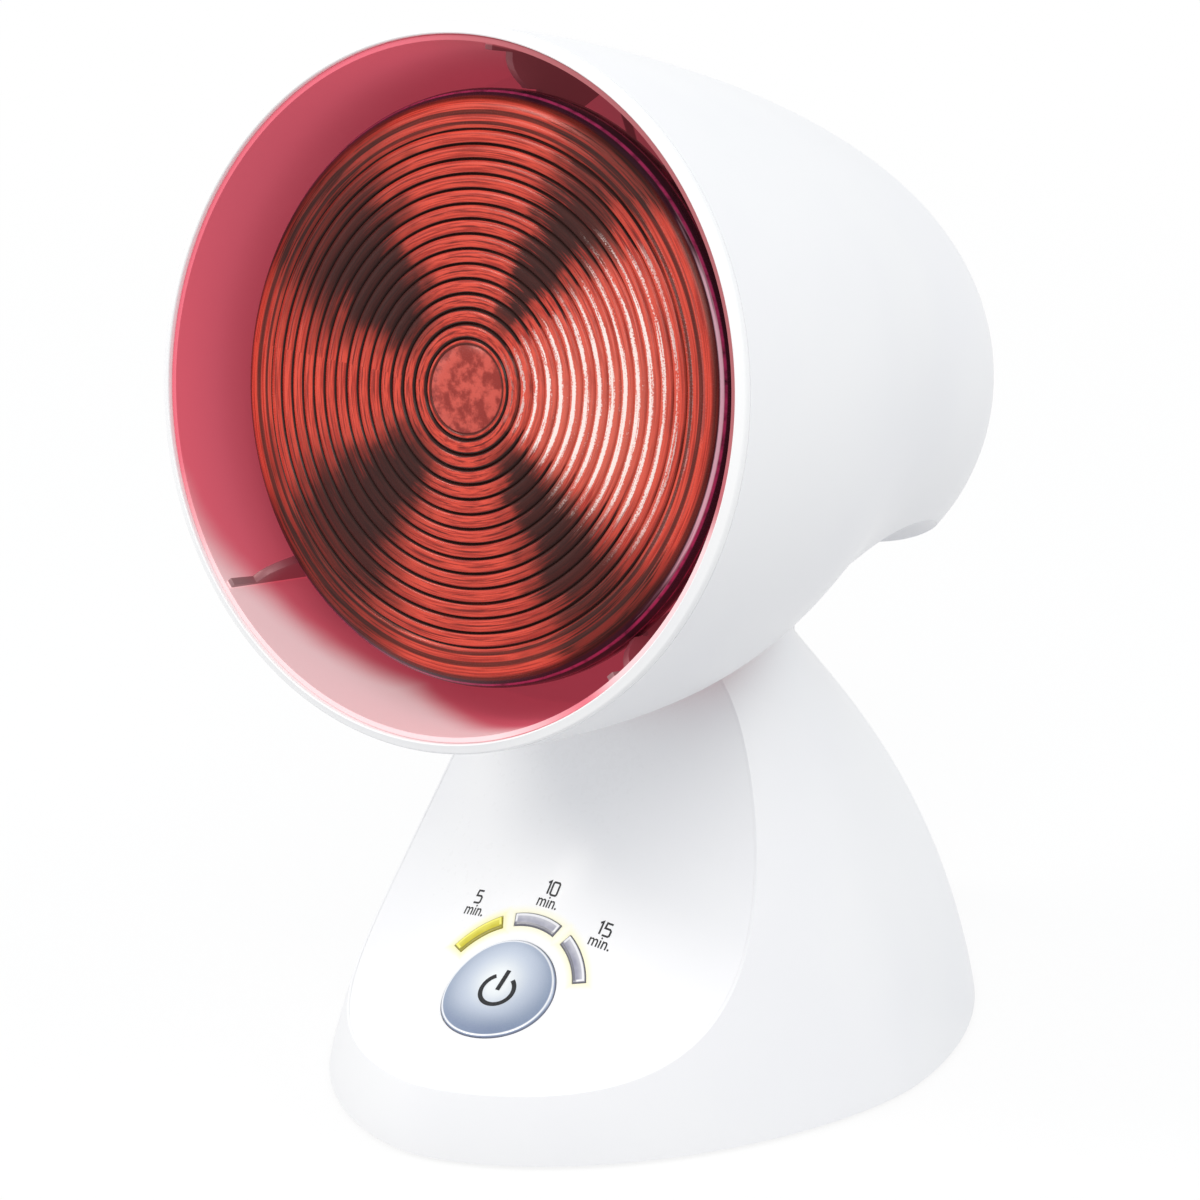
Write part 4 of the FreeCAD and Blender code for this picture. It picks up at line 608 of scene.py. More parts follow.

# %% [markdown]
# The colour of such glass is mostly what shines back through it from the silvered bowl: bright
# orange-red between the ribs, brown in the grooves, four dark wedges where the bowl reflects the
# dark room and one bright, sparkling wedge where it reflects a window. Here all of it is painted
# into the glass's colour: painted shade in the grooves and at the edge, painted reflections in the
# wedges and on the rim, and painted glints.

# %% Mix the ruby glass
def ruby_glass():
    mix = Finish("ruby_pressed_glass", IOR=1.5, Coat_Roughness=0.06, Specular_IOR_Level=0.2)
    here = mix.place(HEAD)
    x, y, z = mix.split(here)
    radius, angle = polar(x, y)
    turns = (radius - RIB_START) / RIB_PITCH + 8.0
    rib, phase = turns.work("FLOOR"), turns.work("FRACT")
    each_rib = mix.node("CombineXYZ", {0: rib * 4.7, 1: angle * 0.05, 2: 3.0})
    rib_shift = mix.noise(each_rib, 1.0, 2.0) - 0.5
    fine_lines = mix.node("CombineXYZ", {0: radius * 2.6, 1: angle * 0.055, 2: 0.0})
    streaks = mix.noise(fine_lines, 1.0, 3.0, 0.6)
    speckle = mix.noise(here, 0.35, 2.0, 0.7)
    mottle = mix.noise(here, 3.2, 4.0, 0.6)

    def wedge(middle, half_width, soft):
        """1 inside a sector of the lens; each line ends it at a slightly different angle."""
        away = (angle - middle + 540.0).work("MODULO", 360.0) - 180.0
        away = abs(away) + 30.0 * rib_shift + 40.0 * (streaks - 0.5)
        return away.step(half_width + soft, half_width - soft)

    orange, deep = paint(224, 80, 62), paint(170, 50, 40)
    brown, painted_dark_tone = paint(42, 17, 14), paint(26, 10, 8)
    bright, blush = paint(255, 238, 232), paint(226, 116, 98)

    mix.colour(mix.blend(streaks.step(0.4, 0.62), orange, deep))
    # Painted reflection: four dark wedges where the bowl mirrors the dark room, fading a little at the outer edge.
    painted_dark_reflection = wedge(-147.0, 21.0, 17.0) + wedge(128.0, 21.0, 17.0) + wedge(-62.0, 11.0, 9.0) + wedge(44.0, 14.0, 11.0)
    faded = 0.45 * radius.step(40.0, 56.0) * streaks.step(0.4, 0.6)
    painted_dark_reflection = (painted_dark_reflection * radius.step(7.0, 22.0)).step(0.05, 0.95) * (1 - faded)
    mix.cover(painted_dark_reflection * 0.95, painted_dark_tone)

    # Painted reflection of a window: a blush wedge with a paler core, and painted white glints along the ribs.
    window = wedge(-8.0, 37.0, 8.0) * radius.step(9.0, 18.0) * radius.step(58.0, 46.0)
    core = wedge(0.0, 22.0, 18.0) * radius.step(12.0, 26.0) * radius.step(52.0, 38.0)
    mix.cover(window * 0.2 + core * 0.48, blush)
    arcs = phase.near(0.42, 0.3, 0.06)
    glints = (arcs * 0.24 + streaks * 0.7 + speckle * 0.34 + core * 0.1).step(0.7, 0.8)
    mix.cover(window * glints * 0.95, bright)

    # Painted shade: brown in the grooves between the ribs, stronger near the eye and weaker in the window wedge.
    groove = phase.step(0.84, 0.95) + phase.step(0.16, 0.05)
    ribbed = radius.step(RIB_START - 0.5, RIB_START - 0.2) * radius.step(RIB_END + 0.4, RIB_END)
    near_eye = radius.step(24.0, 15.0)
    groove = groove + near_eye * (phase.step(0.72, 0.9) + phase.step(0.3, 0.1)) * 0.6
    groove = (groove * ribbed).step(0.0, 0.9) * (1 - window * 0.75) * (0.55 + 0.9 * streaks)
    mix.cover(groove.step(0.0, 1.0), brown)
    # A thin brown line along the middle of each rib, outside the window wedge.
    second_line = phase.near(0.5, 0.12, 0.02) * ribbed * (1 - window) * streaks.step(0.42, 0.6)
    mix.cover(second_line * 0.6, brown)

    eye_colour = mix.blend(mottle.step(0.4, 0.6), paint(150, 52, 45), paint(208, 88, 76))
    mix.cover(radius.step(9.4, 8.6), eye_colour)
    # Painted shade: a brown ring in the groove round the eye, brown rings near the edge and a brown shoulder.
    mix.cover(radius.near(9.1, 0.45, 0.15) * 0.8, brown)
    band = radius.near(53.4, 0.5, 0.2) + radius.near(55.6, 0.7, 0.3)
    band = band + radius.step(57.4, 58.6)
    mix.cover(band.step(0.0, 1.0) * 0.8, brown)
    # Painted reflection on the rim: dark purple with magenta reflection lines, and a painted white sheen on the
    # right.
    rim = z.step(11.2, 11.9) * radius.step(55.0, 56.5)
    magenta = z.near(12.7, 0.4, 0.15) + z.near(15.2, 0.35, 0.1) * 0.7
    rim_colour = mix.blend(magenta * mottle.step(0.2, 0.6), paint(48, 20, 36), paint(176, 56, 108))
    sheen = z.near(12.1, 0.45, 0.2) * wedge(-4.0, 30.0, 12.0)
    rim_colour = mix.blend(sheen * 0.9, rim_colour, paint(250, 214, 232))
    mix.cover(rim, rim_colour)
    mix.feed("Roughness", 0.18 + 0.16 * speckle + 0.3 * painted_dark_reflection)
    mix.feed("Coat Weight", 0.05 + 0.25 * rim)
    mix.bump(streaks * 0.5 + speckle * 0.5, 0.18, 0.00016)
    return mix


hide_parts("bulb_lens")
wear(lens, ruby_glass())

# %% [markdown]
# ## Silvered bowl of the bulb
# Behind the lens the glass widens from the neck in a parabola and ends in a rounded rim fused to
# the lens. It is silvered inside, so from outside it looks like a dark mirror with magenta
# reflections of the shade. Here those reflections are painted into its colour.

# %% Model and finish the bowl
BOWL_FOCUS, BOWL_VERTEX, BOWL_FRONT, BOWL_BACK, BOWL_STEPS = 11.253, 92.0, 19.3, 85.7, 22


def bowl_radius(station, wall):
    return sqrt(4 * BOWL_FOCUS * (BOWL_VERTEX - station)) + wall


bowl_stations = [BOWL_FRONT + (BOWL_BACK - BOWL_FRONT) * step / BOWL_STEPS for step in range(BOWL_STEPS + 1)]
bowl_outline = [(60.2, 16.15), (60.5, 16.6), (60.5, 18.2), (60.1, 19.1)]
bowl_outline += [(bowl_radius(station, 1.6), station) for station in bowl_stations]
bowl_outline += [(18.4, 88.0), (18.4, 104.0), (16.8, 104.0), (16.8, 87.0)]
bowl_outline += [(bowl_radius(station, 0.0), station) for station in reversed(bowl_stations)]
bowl_outline += [(58.3, 16.15)]
bowl = pull_rings("silvered_bowl", bowl_outline, 160, closed=True)
settle(bowl, HEAD, "head", 40)

mirror = Finish("silvered_glass_painted_reflection", Metallic=0.85, Coat_Roughness=0.05)
reflection_clouds = mirror.noise(mirror.place(HEAD), 5.0, 4.0)
# Painted reflection: dark purple with magenta patches, in place of the shade that the mirror shows.
mirror.colour(mirror.blend(reflection_clouds.step(0.4, 0.65), paint(70, 34, 54), paint(124, 48, 80)))
mirror.feed("Roughness", 0.14 + 0.15 * reflection_clouds)
mirror.feed("Coat Weight", 0.6 + 0.2 * reflection_clouds)
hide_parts("bulb_reflector")
wear(bowl, mirror)

# %% [markdown]
# ## Foot
# The foot is a dome whose plan is a soft diamond, not a circle: a superellipse. Blender has no
# ring like that, so the rings are pulled as usual and each corner is then moved onto its curve.
# A saddle-shaped cutter takes off the front, where the panel goes.

# %% Model the dome's forms
FOOT_HALF_WIDTH, FOOT_HALF_DEPTH, DOME_HEIGHT = 65.6, 87.5, 92.0
NECK_HALF_WIDTH, NECK_HALF_DEPTH, NECK_SHIFT = 33.0, 22.7, 1.7
PLAN_POWER, WIDTH_POWER, DEPTH_POWER = 1.76, 1.05, 1.82
CROWN_RADIUS, HOLLOW_RADIUS = 114.0, 77.4
NECK_TOP, FOOT_WALL, CLEARANCE = 99.5, 2.4, 0.8
LIP, PANEL_GAP, PANEL_THICKNESS = 0.45, 0.04, 2.2


def dome_point(angle, height, inset):
    """Corner of the superellipse at one height, moved inwards by inset."""
    share = max(height, 0) / DOME_HEIGHT
    half_width = FOOT_HALF_WIDTH - (FOOT_HALF_WIDTH - NECK_HALF_WIDTH) * share ** WIDTH_POWER - inset
    half_depth = FOOT_HALF_DEPTH - (FOOT_HALF_DEPTH - NECK_HALF_DEPTH) * share ** DEPTH_POWER - inset
    x, y = (copysign(abs(part) ** (2 / PLAN_POWER), part) for part in (cos(angle), sin(angle)))
    return half_width * x, half_depth * y + NECK_SHIFT * share, height


def dome_form(name, inset, bottom, top, rings=44, count=176):
    heights = [bottom + (top - bottom) * step / rings for step in range(rings + 1)]
    form = pull_rings(name, [(50 - height / 4, height) for height in heights], count)
    for vertex in form.data.vertices:
        angle = atan2(vertex.co.y, vertex.co.x)
        vertex.co = dome_point(angle, vertex.co.z, inset)
    return form


def saddle(x, y):
    """Height of the panel's surface: crowned across the lamp, hollow up the slope."""
    return -x * x / (2 * CROWN_RADIUS) + y * y / (2 * HOLLOW_RADIUS)


def follow_saddle(piece, above):
    """Raise every corner higher than above by the saddle's own height there."""
    for vertex in piece.data.vertices:
        if vertex.co.z > above:
            vertex.co.z += saddle(vertex.co.x, vertex.co.y)


def to_row(piece):
    """Move a cutter from the panel's board into row millimetres."""
    piece.data.transform(ROW.inverted() @ PANEL)
    return piece


def saddle_slab(name, low, high, cells=96):
    """Everything between two depths of the saddle, in the row frame, in millimetres."""
    bpy.ops.mesh.primitive_grid_add(x_subdivisions=cells, y_subdivisions=cells, size=2)
    slab = newest(name)
    for vertex in slab.data.vertices:
        x, y = vertex.co.x * 80.0, 27.5 + vertex.co.y * 82.5
        vertex.co = (x, y, saddle(x, y) + low)
    thicken(high - low)
    return to_row(slab)


# %% Carve the foot's shell
foot = dome_form("foot", 0, CLEARANCE, NECK_TOP)
carve(foot, dome_form("foot_hollow", FOOT_WALL, -1.0, NECK_TOP - FOOT_WALL))
ledge = dome_form("panel_ledge", LIP / 2, CLEARANCE, NECK_TOP - 1.2)
carve(ledge, dome_form("ledge_hollow", FOOT_WALL + 4.0, 0, NECK_TOP - FOOT_WALL - 4.0))
carve(ledge, saddle_slab("ledge_depth", -PANEL_THICKNESS - 1.8, 0.5), "INTERSECT")
carve(foot, ledge, "UNION")
carve(foot, saddle_slab("front_cutter", 0, 160))
pocket = dome_form("panel_pocket", LIP, -1.0, NECK_TOP - LIP)
carve(foot, carve(pocket, saddle_slab("pocket_depth", -PANEL_THICKNESS, 30), "INTERSECT"))

# %% [markdown]
# The neck ends in a barrel with a hole for the pivot bolt, and four posts inside take the base
# screws. They are joined to the dome, as one moulding.

# %% Add the barrel and the posts
BARREL_RADIUS, BARREL_WIDTH, BOLT_RADIUS = 8.0, 43.0, 3.06
POST_X, POST_ROWS, INLET = 38.0, (-36.0, 44.0), (0, 80.0, 15.0)
carve(foot, block("barrel_web", (-21.5, 4.0, 87.5), (21.5, 20.0, 110.0)), "UNION")
carve(foot, drum("barrel", BARREL_RADIUS, BARREL_WIDTH, (0, HINGE.y, HINGE.z), "X", 96), "UNION")
carve(foot, drum("bolt_hole", BOLT_RADIUS, 80.0, (0, HINGE.y, HINGE.z), "X", 48))
for x in (-POST_X, POST_X):
    for y in POST_ROWS:
        post = drum("screw_post", 4.4, 80.0, (x, y, 46.8), "Z", 32)
        carve(post, dome_form("post_limit", 1.2, CLEARANCE, NECK_TOP - FOOT_WALL, 24, 88), "INTERSECT")
        carve(post, saddle_slab("post_front", -PANEL_THICKNESS, 160, 32))
        carve(foot, post, "UNION")
        carve(foot, drum("post_hole", 1.7, 12.2, (x, y, 12.7), "Z", 24))
carve(foot, drum("inlet_hole", 5.45, 40.0, INLET, "Y", 48))
settle(foot, ROW, "foot", 32)
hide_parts("foot_shell")
wear(foot, shell_white)

# %% [markdown]
# ## Control panel
# The panel is a thin saddle that drops into the foot behind a fine lip. Its outline is the same
# dome, moved in by the lip and a hair of clearance. The button's hole and the three light windows
# are cut square to it.

# %% Model the control panel
BUTTON_RADIUS, BOARD_BOSS_X, BOARD_BOSS_ROWS = 12.8, 17.5, (-8.5, 23.0)
WINDOW_RADIUS, WINDOW_WIDTH, WINDOW_SPAN = 17.8, 2.9, 36.5
WINDOW_ANGLES = {"window_5_min": 136.0, "window_10_min": 90.0, "window_15_min": 44.0}


def arc_outline(angle, grow, steps=14):
    """Outline of a light window, grown all round."""
    half = radians(WINDOW_SPAN / 2) + grow / WINDOW_RADIUS
    inner, outer = WINDOW_RADIUS - WINDOW_WIDTH / 2 - grow, WINDOW_RADIUS + WINDOW_WIDTH / 2 + grow
    turns = [radians(angle) - half + 2 * half * step / steps for step in range(steps + 1)]
    return ([(inner * cos(turn), inner * sin(turn)) for turn in turns]
            + [(outer * cos(turn), outer * sin(turn)) for turn in reversed(turns)])


panel = carve(dome_form("panel", LIP + PANEL_GAP, 0, NECK_TOP - FOOT_WALL),
              saddle_slab("panel_sheet", -PANEL_THICKNESS, 0), "INTERSECT")
carve(panel, to_row(drum("button_hole", BUTTON_RADIUS + 0.12, 24, (0, 0, 0), "Z", 160)))
for name, angle in WINDOW_ANGLES.items():
    carve(panel, to_row(cut_plate("window_slot", arc_outline(angle, 0.1), -8, 8)))
for x in (-BOARD_BOSS_X, BOARD_BOSS_X):
    for y in BOARD_BOSS_ROWS:
        boss = drum("board_boss", 2.8, 10.6, (x, y, -7.2), "Z", 32)
        carve(boss, drum("board_screw_hole", 1.2, 6.2, (x, y, -9.5), "Z", 24))
        carve(panel, to_row(boss), "UNION")
settle(panel, ROW, "foot", 32)
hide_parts("control_panel")

# %% [markdown]
# The panel is the same white plastic as the foot. Light from the windows spills faintly onto it,
# so its finish paints a soft yellow halo of light round each of the three, strongest round the lit one.

# %% Mix the panel's white
def outside_window(radius, angle, middle):
    """Millimetres past a window's outline, less than 0 inside it."""
    along = (abs(angle - middle) - WINDOW_SPAN / 2) * radians(WINDOW_RADIUS)
    return along.work("MAXIMUM", abs(radius - WINDOW_RADIUS) - WINDOW_WIDTH / 2)


def panel_finish():
    mix = white_plastic("panel_white_abs", paint(251, 251, 252), 0.24)
    x, y, _ = mix.split(mix.place(PANEL))
    radius, angle = polar(x, y)
    # Painted light: a yellow halo round each window.
    halo, *others = [outside_window(radius, angle, middle).step(2.6, 0.0) ** 1.5 * strength
                     for middle, strength in zip(WINDOW_ANGLES.values(), (0.5, 0.28, 0.34))]
    for other in others:
        halo = halo + other
    mix.cover(halo, paint(255, 246, 120))
    return mix


wear(panel, panel_finish())

# %% [markdown]
# ## Timer windows
# Each window is a clear strip bent round the button. It is cut as a plate, its top is laid on the
# saddle and its edge gets a fine bevel. The first one is lit yellow; the others are silvery, with
# a dark tinted middle.

# %% Model and finish the timer windows
def timer_window(name, angle):
    window = cut_plate(name, arc_outline(angle, 0), -4.2, 0.25)
    follow_saddle(window, 0)
    finish_with(window, "BEVEL", width=0.3, segments=3, limit_method="ANGLE", angle_limit=radians(50))
    return settle(window, PANEL, "foot", 35)


def window_finish(name, angle, tones, glow=0.0):
    """Bevelled strip: a tinted middle, a painted highlight on the outer bevel, painted shade on the inner bevel and
    a thin outline.
    """
    middle_tone, painted_highlight_tone, shadow_tone, line_tone = tones
    mix = Finish(name, IOR=1.5, Emission_Color=middle_tone, Emission_Strength=glow)
    here = mix.place(PANEL)
    x, y, _ = mix.split(here)
    radius, turn = polar(x, y)
    inside = outside_window(radius, turn, angle)
    shine = mix.noise(here, 2.0, 2.0)
    # Painted highlight: the middle lightens towards the window's outer side.
    side = (radius - WINDOW_RADIUS + 1.4 * (shine - 0.5)).step(-1.0, 1.2)
    tone = mix.blend(side * 0.55, middle_tone, painted_highlight_tone)
    # Painted highlight on the outer bevel, painted shade on the inner bevel.
    bevel = mix.blend((radius - WINDOW_RADIUS).step(-0.9, -0.3), shadow_tone, painted_highlight_tone)
    mix.colour(mix.blend(inside.step(-0.85, -0.6), tone, bevel))
    mix.cover(inside.step(-0.32, -0.14), line_tone)
    mix.feed("Roughness", 0.16 + 0.1 * shine)
    return mix


# Each set: middle, painted highlight, painted shade and outline.
lit_tones = (paint(200, 188, 36), paint(244, 238, 116), paint(140, 132, 34), paint(150, 142, 58))
silver_tones = (paint(146, 147, 166), paint(240, 240, 244), paint(116, 117, 130), paint(112, 112, 124))
for (name, angle), node in zip(WINDOW_ANGLES.items(), ("timer_window_5", "timer_window_10", "timer_window_15")):
    strip = timer_window(name, angle)
    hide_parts(node)
    if node == "timer_window_5":
        wear(strip, window_finish("lit_yellow_window", angle, lit_tones, 0.08))
    else:
        wear(strip, window_finish(name + "_silver", angle, silver_tones))

# %% [markdown]
# ## Power button
# The button is a lacquered cap whose top follows the saddle. Its blue-silver lacquer carries painted
# light: a painted highlight near the middle, painted shade towards the edge and the bottom, a painted
# highlight line where the edge turns over and a painted dark line at the very edge.

# %% Model and finish the power button
CAP_TOP = 0.6


def button_cap():
    rounding = corner(BUTTON_RADIUS - 0.7, -0.1, 0.7, 0, 90, 5)
    outline = ([(9.0, -5.55), (14.2, -5.55), (14.2, -4.4), (BUTTON_RADIUS, -4.4)] + rounding
               + [(radius, CAP_TOP) for radius in (11.0, 9.5, 8.0, 6.5, 5.0, 3.5, 2.0, 0.8)])
    cap = pull_rings("power_button_cap", outline, 128)
    follow_saddle(cap, -0.2)
    return settle(cap, PANEL, "button", 35)


def button_lacquer():
    mix = Finish("blue_silver_lacquer", IOR=1.5, Coat_Roughness=0.08)
    here = mix.place(PANEL)
    x, y, _ = mix.split(here)
    # Painted highlight and painted shade: lightest about a point left of and above the middle, darker towards the
    # edge and the bottom.
    radius = ((x + 1.0) ** 2 + (y - 2.0) ** 2) ** 0.5
    flakes = mix.noise(here, 0.25, 1.0)
    light, middle, edge = paint(240, 245, 247), paint(194, 205, 222), paint(126, 144, 174)
    mix.colour(mix.blend(radius.step(1.5, 8.0), light, middle))
    mix.cover(radius.step(6.0, 14.0), edge)
    mix.cover((y * -1.0).step(4.0, 13.0) * 0.45, paint(96, 116, 156))
    true_radius, _ = polar(x, y)
    # Painted highlight where the edge turns over, then painted shade at the very edge.
    mix.cover(true_radius.step(12.0, 12.25) * true_radius.step(12.6, 12.4), paint(244, 247, 252))
    mix.cover(true_radius.step(12.6, 12.75), paint(96, 106, 134))
    mix.cover(flakes * 0.12, WHITE)
    mix.feed("Metallic", 0.25 + 0.1 * flakes)
    mix.feed("Roughness", 0.26 + 0.1 * flakes)
    mix.feed("Coat Weight", 0.5 + 0.2 * flakes)
    return mix


button = button_cap()
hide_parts("power_button")
wear(button, button_lacquer())

stem = drum("button_stem", 2.2, 5.1, (0, 0, -3.75), "Z", 32)
finish_with(stem, "BEVEL", width=0.3, segments=2, limit_method="ANGLE")
settle(stem, PANEL, "button", 35)

# %% [markdown]
# ## Printed signs
# The on-off sign and the minutes are pad-printed in dark grey ink. Ink has almost no thickness,
# so each sign is a thin plate laid on the saddle a few hundredths of a millimetre up.

# %% Print the power sign and the minutes
INK_THICKNESS, ON_PANEL, ON_CAP = 0.04, 0.02, CAP_TOP + 0.01
ink = Finish("dark_grey_ink", IOR=1.45)
ink_cloud = ink.noise(ink.place(), 0.6, 2.0)
ink.colour(ink.blend(ink_cloud.step(0.4, 0.7), paint(22, 23, 27), paint(36, 38, 43)))
ink.feed("Roughness", 0.4 + 0.2 * ink_cloud)


def print_sign(sign, base, body):
    """Lay a flat sign on the saddle, keeping its own small thickness, and ink it."""
    low = min(vertex.co.z for vertex in sign.data.vertices)
    sign.data.transform(Matrix.Translation((0, 0, base - low)))
    follow_saddle(sign, 0)
    settle(sign, PANEL, body, 30)
    wear(sign, ink)


def stroke(points, width):
    """Outline of a pen stroke through the points, with mitred corners."""
    left, right = [], []
    points = [Vector(point) for point in points]
    for number, here in enumerate(points):
        ends = points[max(0, number - 1):number + 2]
        directions = [(after - before).normalized() for before, after in zip(ends, ends[1:])]
        along = sum(directions, Vector((0, 0))).normalized()
        normal = Vector((-along.y, along.x))
        reach = width / 2 / max(0.4, normal.dot(Vector((-directions[0].y, directions[0].x))))
        left.append(tuple(here + normal * reach))
        right.append(tuple(here - normal * reach))
    return left + right[::-1]


def print_stroke(name, points, width, base, body):
    print_sign(cut_plate(name, stroke(points, width), 0, INK_THICKNESS), base, body)


print_stroke("power_sign_ring", corner(0, 0, 3.8, 124, 416, 40), 1.0, ON_CAP, "button")
print_stroke("power_sign_bar", [(0, 0.0), (0, 5.2)], 1.0, ON_CAP, "button")

# %% [markdown]
# The minutes are drawn with a pen of even width: each digit is a chain of points with cut
# corners, as on a digital dial. The word below uses Blender's own font, turned into a mesh.

# %% Print the minutes
DIGIT_WIDTH, DIGIT_HEIGHT, PEN, WORD_SIZE = 1.65, 2.75, 0.4, 3.7
DIGITS = {
    "0": [(0.15, 0), (0, 0.1), (0, 0.9), (0.15, 1), (0.85, 1), (1, 0.9), (1, 0.1), (0.85, 0), (0.14, 0)],
    "1": [(0.45, 0.86), (0.8, 1), (0.8, 0)],
    "5": [(0.96, 1), (0.14, 1), (0.07, 0.58), (0.8, 0.58), (1, 0.48), (1, 0.1), (0.82, 0), (0, 0)],
}


def print_digits(text, x, y):
    """Digits side by side about x, standing on y."""
    for number, digit in enumerate(text):
        left = x + (number - len(text) / 2) * (DIGIT_WIDTH + 0.2 * len(text))
        points = [(left + px * DIGIT_WIDTH, y + py * DIGIT_HEIGHT) for px, py in DIGITS[digit]]
        print_stroke(f"sign_{text}_digit_{number + 1}", points, PEN, ON_PANEL, "foot")


def print_word(name, x, y):
    bpy.ops.object.text_add(location=(0, 0, 0))
    sign = newest(name)
    sign.data.body = "min."
    sign.data.size = WORD_SIZE
    sign.data.align_x, sign.data.align_y = "CENTER", "CENTER"
    sign.data.offset = 0.02
    sign.data.extrude = INK_THICKNESS / 2
    sign.data.resolution_u = 4
    bpy.ops.object.convert(target="MESH")
    sign = bpy.context.object
    sign.data.transform(Matrix.Translation((x, y, 0)) @ Matrix.Diagonal((0.86, 1.0, 1.0, 1.0)))
    activate(sign)
    open_up()
    bpy.ops.mesh.remove_doubles(threshold=0.0005)
    close_up()
    print_sign(sign, ON_PANEL, "foot")


for minutes, x, y in (("5", -16.9, 18.5), ("10", 0.4, 23.6), ("15", 16.1, 18.9)):
    print_digits(minutes, x - 0.45, y + 0.3)
    print_word("sign_min_" + minutes, x - 0.1, y - 1.4)

# %% [markdown]
# ## Metal, rubber and the parts inside
# The pieces that the CAD model already draws well enough keep their CAD shape and only get a
# finish. Each finish still varies: brushed metal has fine lines, rubber is dusty, the board shows
# its weave.

# %% Mix the finishes of the CAD pieces
def metal(name, tone, roughness=0.32, grain=0.5, stretch=(0.1, 1.0, 1.0)):
    """Brushed metal: slow tarnish, and fine lines along the axis with the smallest stretch."""
    mix, tone = Finish(name, Metallic=1.0), paint(*tone)
    lines = mix.noise(mix.node("Mapping", {0: mix.place(), 3: stretch}), grain, 3.0)
    tarnish = mix.noise(mix.place(), 9.0, 3.0)
    darker_tone = tuple(value * 0.72 for value in tone[:3]) + (1.0,)
    mix.colour(mix.blend(lines.step(0.3, 0.75) * 0.6 + tarnish * 0.2, tone, darker_tone))
    mix.feed("Roughness", roughness + 0.18 * (lines - 0.5) + 0.1 * tarnish)
    mix.bump(lines, 0.08, 0.00005)
    return mix


def dull(name, tone, second, size, roughness, bump):
    """Matt or satin surface with a fine grain of two tones."""
    mix = Finish(name, IOR=1.45)
    here = mix.place()
    grain = mix.noise(here, size, 3.0)
    clouds = mix.noise(here, size * 14, 2.0)
    mix.colour(mix.blend(grain.step(0.35, 0.7) * 0.6 + clouds * 0.3, paint(*tone), paint(*second)))
    mix.feed("Roughness", roughness + 0.12 * (clouds - 0.5))
    mix.bump(grain, bump, 0.00008)
    return mix


def board_weave():
    mix = Finish("green_circuit_board", IOR=1.5)
    here = mix.place(PANEL)
    x, y, _ = mix.split(here)
    weave = (x * 7.0).work("SINE") * (y * 7.0).work("SINE")
    tracks = mix.noise(here, 4.0, 1.0).step(0.52, 0.56)
    mix.colour(mix.blend(weave.step(-0.5, 0.5) * 0.3, paint(26, 92, 50), paint(18, 70, 38)))
    mix.cover(tracks * 0.5, paint(52, 128, 70))
    mix.feed("Roughness", 0.3 + 0.1 * weave)
    return mix


def dress(nodes, slot_name, mix):
    """Put one finish on CAD pieces of one slot."""
    for node in nodes.split():
        wear(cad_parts[node], mix)
    print(slot_name, "on", nodes)


dress("board_screws base_screws hinge_screws holder_screws pivot_bolt pivot_nut detent_disc", "zinc_steel",
      metal("zinc_plated_steel", (206, 208, 210)))
dress("hinge_bracket_left hinge_bracket_right holder_bracket", "bracket_steel",
      metal("galvanised_sheet", (186, 189, 194), 0.38, 1.2, (1.0, 0.15, 1.0)))
dress("detent_spring", "spring_steel", metal("blued_spring_steel", (140, 146, 160), 0.25))
bright = metal("rolled_aluminium", (218, 219, 222), 0.24, 0.8)
dress("heat_shield", "shield_aluminium", bright)
dress("bulb_cap", "cap_aluminium", bright)
dress("cap_contact screw_shell centre_contact", "contact_brass", metal("plain_brass", (214, 178, 104), 0.26))
dress("filament filament_leads", "tungsten", metal("drawn_tungsten", (120, 116, 116), 0.4, 0.3))
black_plastic = dull("black_switch_plastic", (28, 28, 31), (44, 44, 48), 0.9, 0.5, 0.2)
dress("tact_switch switch_plunger", "switch_black", black_plastic)
wear(stem, black_plastic)
dress("circuit_board", "board_green", board_weave())
for nodes, slot_name, *recipe in (
        ("rubber_feet inlet_bush", "rubber_black", "black_rubber", (30, 30, 31), (52, 52, 54), 0.8, 0.8, 0.2),
        ("base_plate", "base_grey", "grained_base_plastic", (214, 216, 220), (196, 198, 204), 0.7, 0.55, 0.3),
        ("relay", "relay_blue", "blue_relay_case", (36, 66, 146), (28, 52, 122), 1.0, 0.35, 0.05),
        ("film_capacitor", "capacitor_yellow", "yellow_dipped_case", (222, 172, 52), (200, 148, 38), 2.0, 0.3, 0.15),
        ("terminal_block", "terminal_ivory", "ivory_polyamide", (226, 221, 204), (212, 205, 186), 1.5, 0.45, 0.2),
        ("friction_washers", "washer_fibre", "red_fibre", (150, 88, 62), (118, 66, 46), 0.5, 0.75, 0.3),
        ("lampholder", "ceramic_white", "glazed_steatite", (238, 233, 222), (226, 219, 204), 2.2, 0.3, 0.05),
        ("cap_insulator", "insulator_black", "black_cap_glass", (26, 22, 32), (40, 34, 46), 1.0, 0.15, 0.02),
        ("indicator_leds", "led_clear", "clear_epoxy", (222, 224, 212), (206, 208, 190), 0.8, 0.15, 0.02),
        ("bulb_stem", "stem_glass", "flint_glass", (226, 232, 232), (206, 216, 216), 3.0, 0.08, 0.02)):
    dress(nodes, slot_name, dull(*recipe))

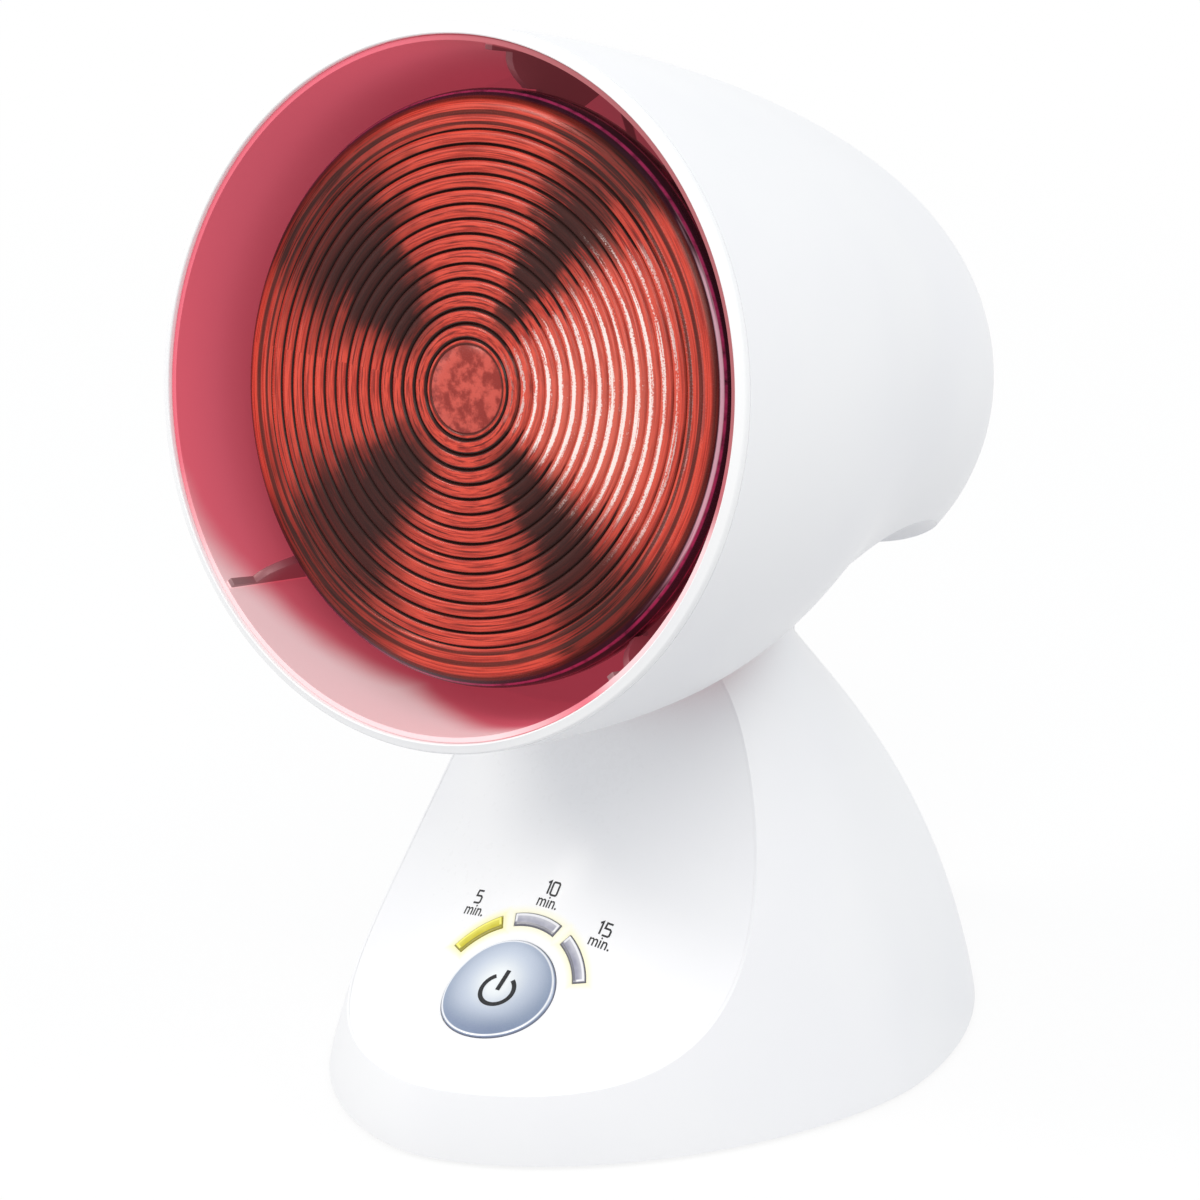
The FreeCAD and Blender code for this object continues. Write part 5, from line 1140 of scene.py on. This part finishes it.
# %% [markdown]
# ## Stage and light
# The lamp stands on a pale floor. The floor looks white to the camera, to reflections and through
# glass, but it keeps the lamp's soft shadow. Light comes mostly from all round. Four soft lamps
# shape it: a key and a low fill on the left, a broad one in front, and one behind on the right.

# %% Build the stage and the lights
def floor_finish():
    mix = Finish("pale_floor", Roughness=0.9)
    seen = mix.backdrop_rays()
    mix.colour(mix.blend(seen, (0.57, 0.57, 0.58, 1.0), (0.97, 0.97, 0.97, 1.0)))
    white = mix.node("Emission", {0: WHITE, 1: 1.0})
    across, along, _ = mix.split(mix.place())
    away = polar(across, along)[0].step(200, 900)
    painted = Wire(mix, mix.surface.outputs[0])
    mixed = mix.node("MixShader", {0: seen * (0.87 + 0.13 * away), 1: painted, 2: white})
    mix.end_with(mixed, "Material Output")
    return mix


bpy.ops.mesh.primitive_plane_add(size=12)
floor = newest("floor")
floor.data.materials.append(floor_finish().material)

world = bpy.data.worlds.new("studio")
bpy.context.scene.world = world
world.use_nodes = True
back = world.node_tree.nodes["Background"]
back.inputs["Color"].default_value = (0.91, 0.95, 1.0, 1.0)
back.inputs["Strength"].default_value = 0.77
sky = Mixer(world.node_tree)
white = sky.node("Background", {0: WHITE, 1: 1.0})
light = Wire(sky, back.outputs[0])
sky.end_with(sky.node("MixShader", {0: sky.backdrop_rays(), 1: light, 2: white}), "World Output")


LAMP_AIM = Vector((0, 0, 0.12))


def soft_lamp(name, place, size, power, tone):
    aim = (LAMP_AIM - Vector(place)).to_track_quat("-Z", "Y").to_euler()
    bpy.ops.object.light_add(type="AREA", location=place, rotation=aim)
    lamp = newest(name)
    lamp.data.shape = "DISK"
    lamp.data.size = size
    lamp.data.energy = power
    lamp.data.color = tone


soft_lamp("left_key", (-0.9, -1.2, 1.3), 0.5, 8.0, (1.0, 0.95, 0.86))
soft_lamp("left_fill", (-1.6, -0.9, 0.5), 0.7, 1.4, (1.0, 0.98, 0.95))
soft_lamp("front_fill", (0.7, -1.2, 1.3), 0.9, 7.2, (1.0, 0.95, 0.88))
soft_lamp("right_rim", (1.5, 0.6, 1.2), 0.9, 6.2, (1.0, 0.96, 0.88))
bpy.context.scene.view_settings.view_transform = "Standard"
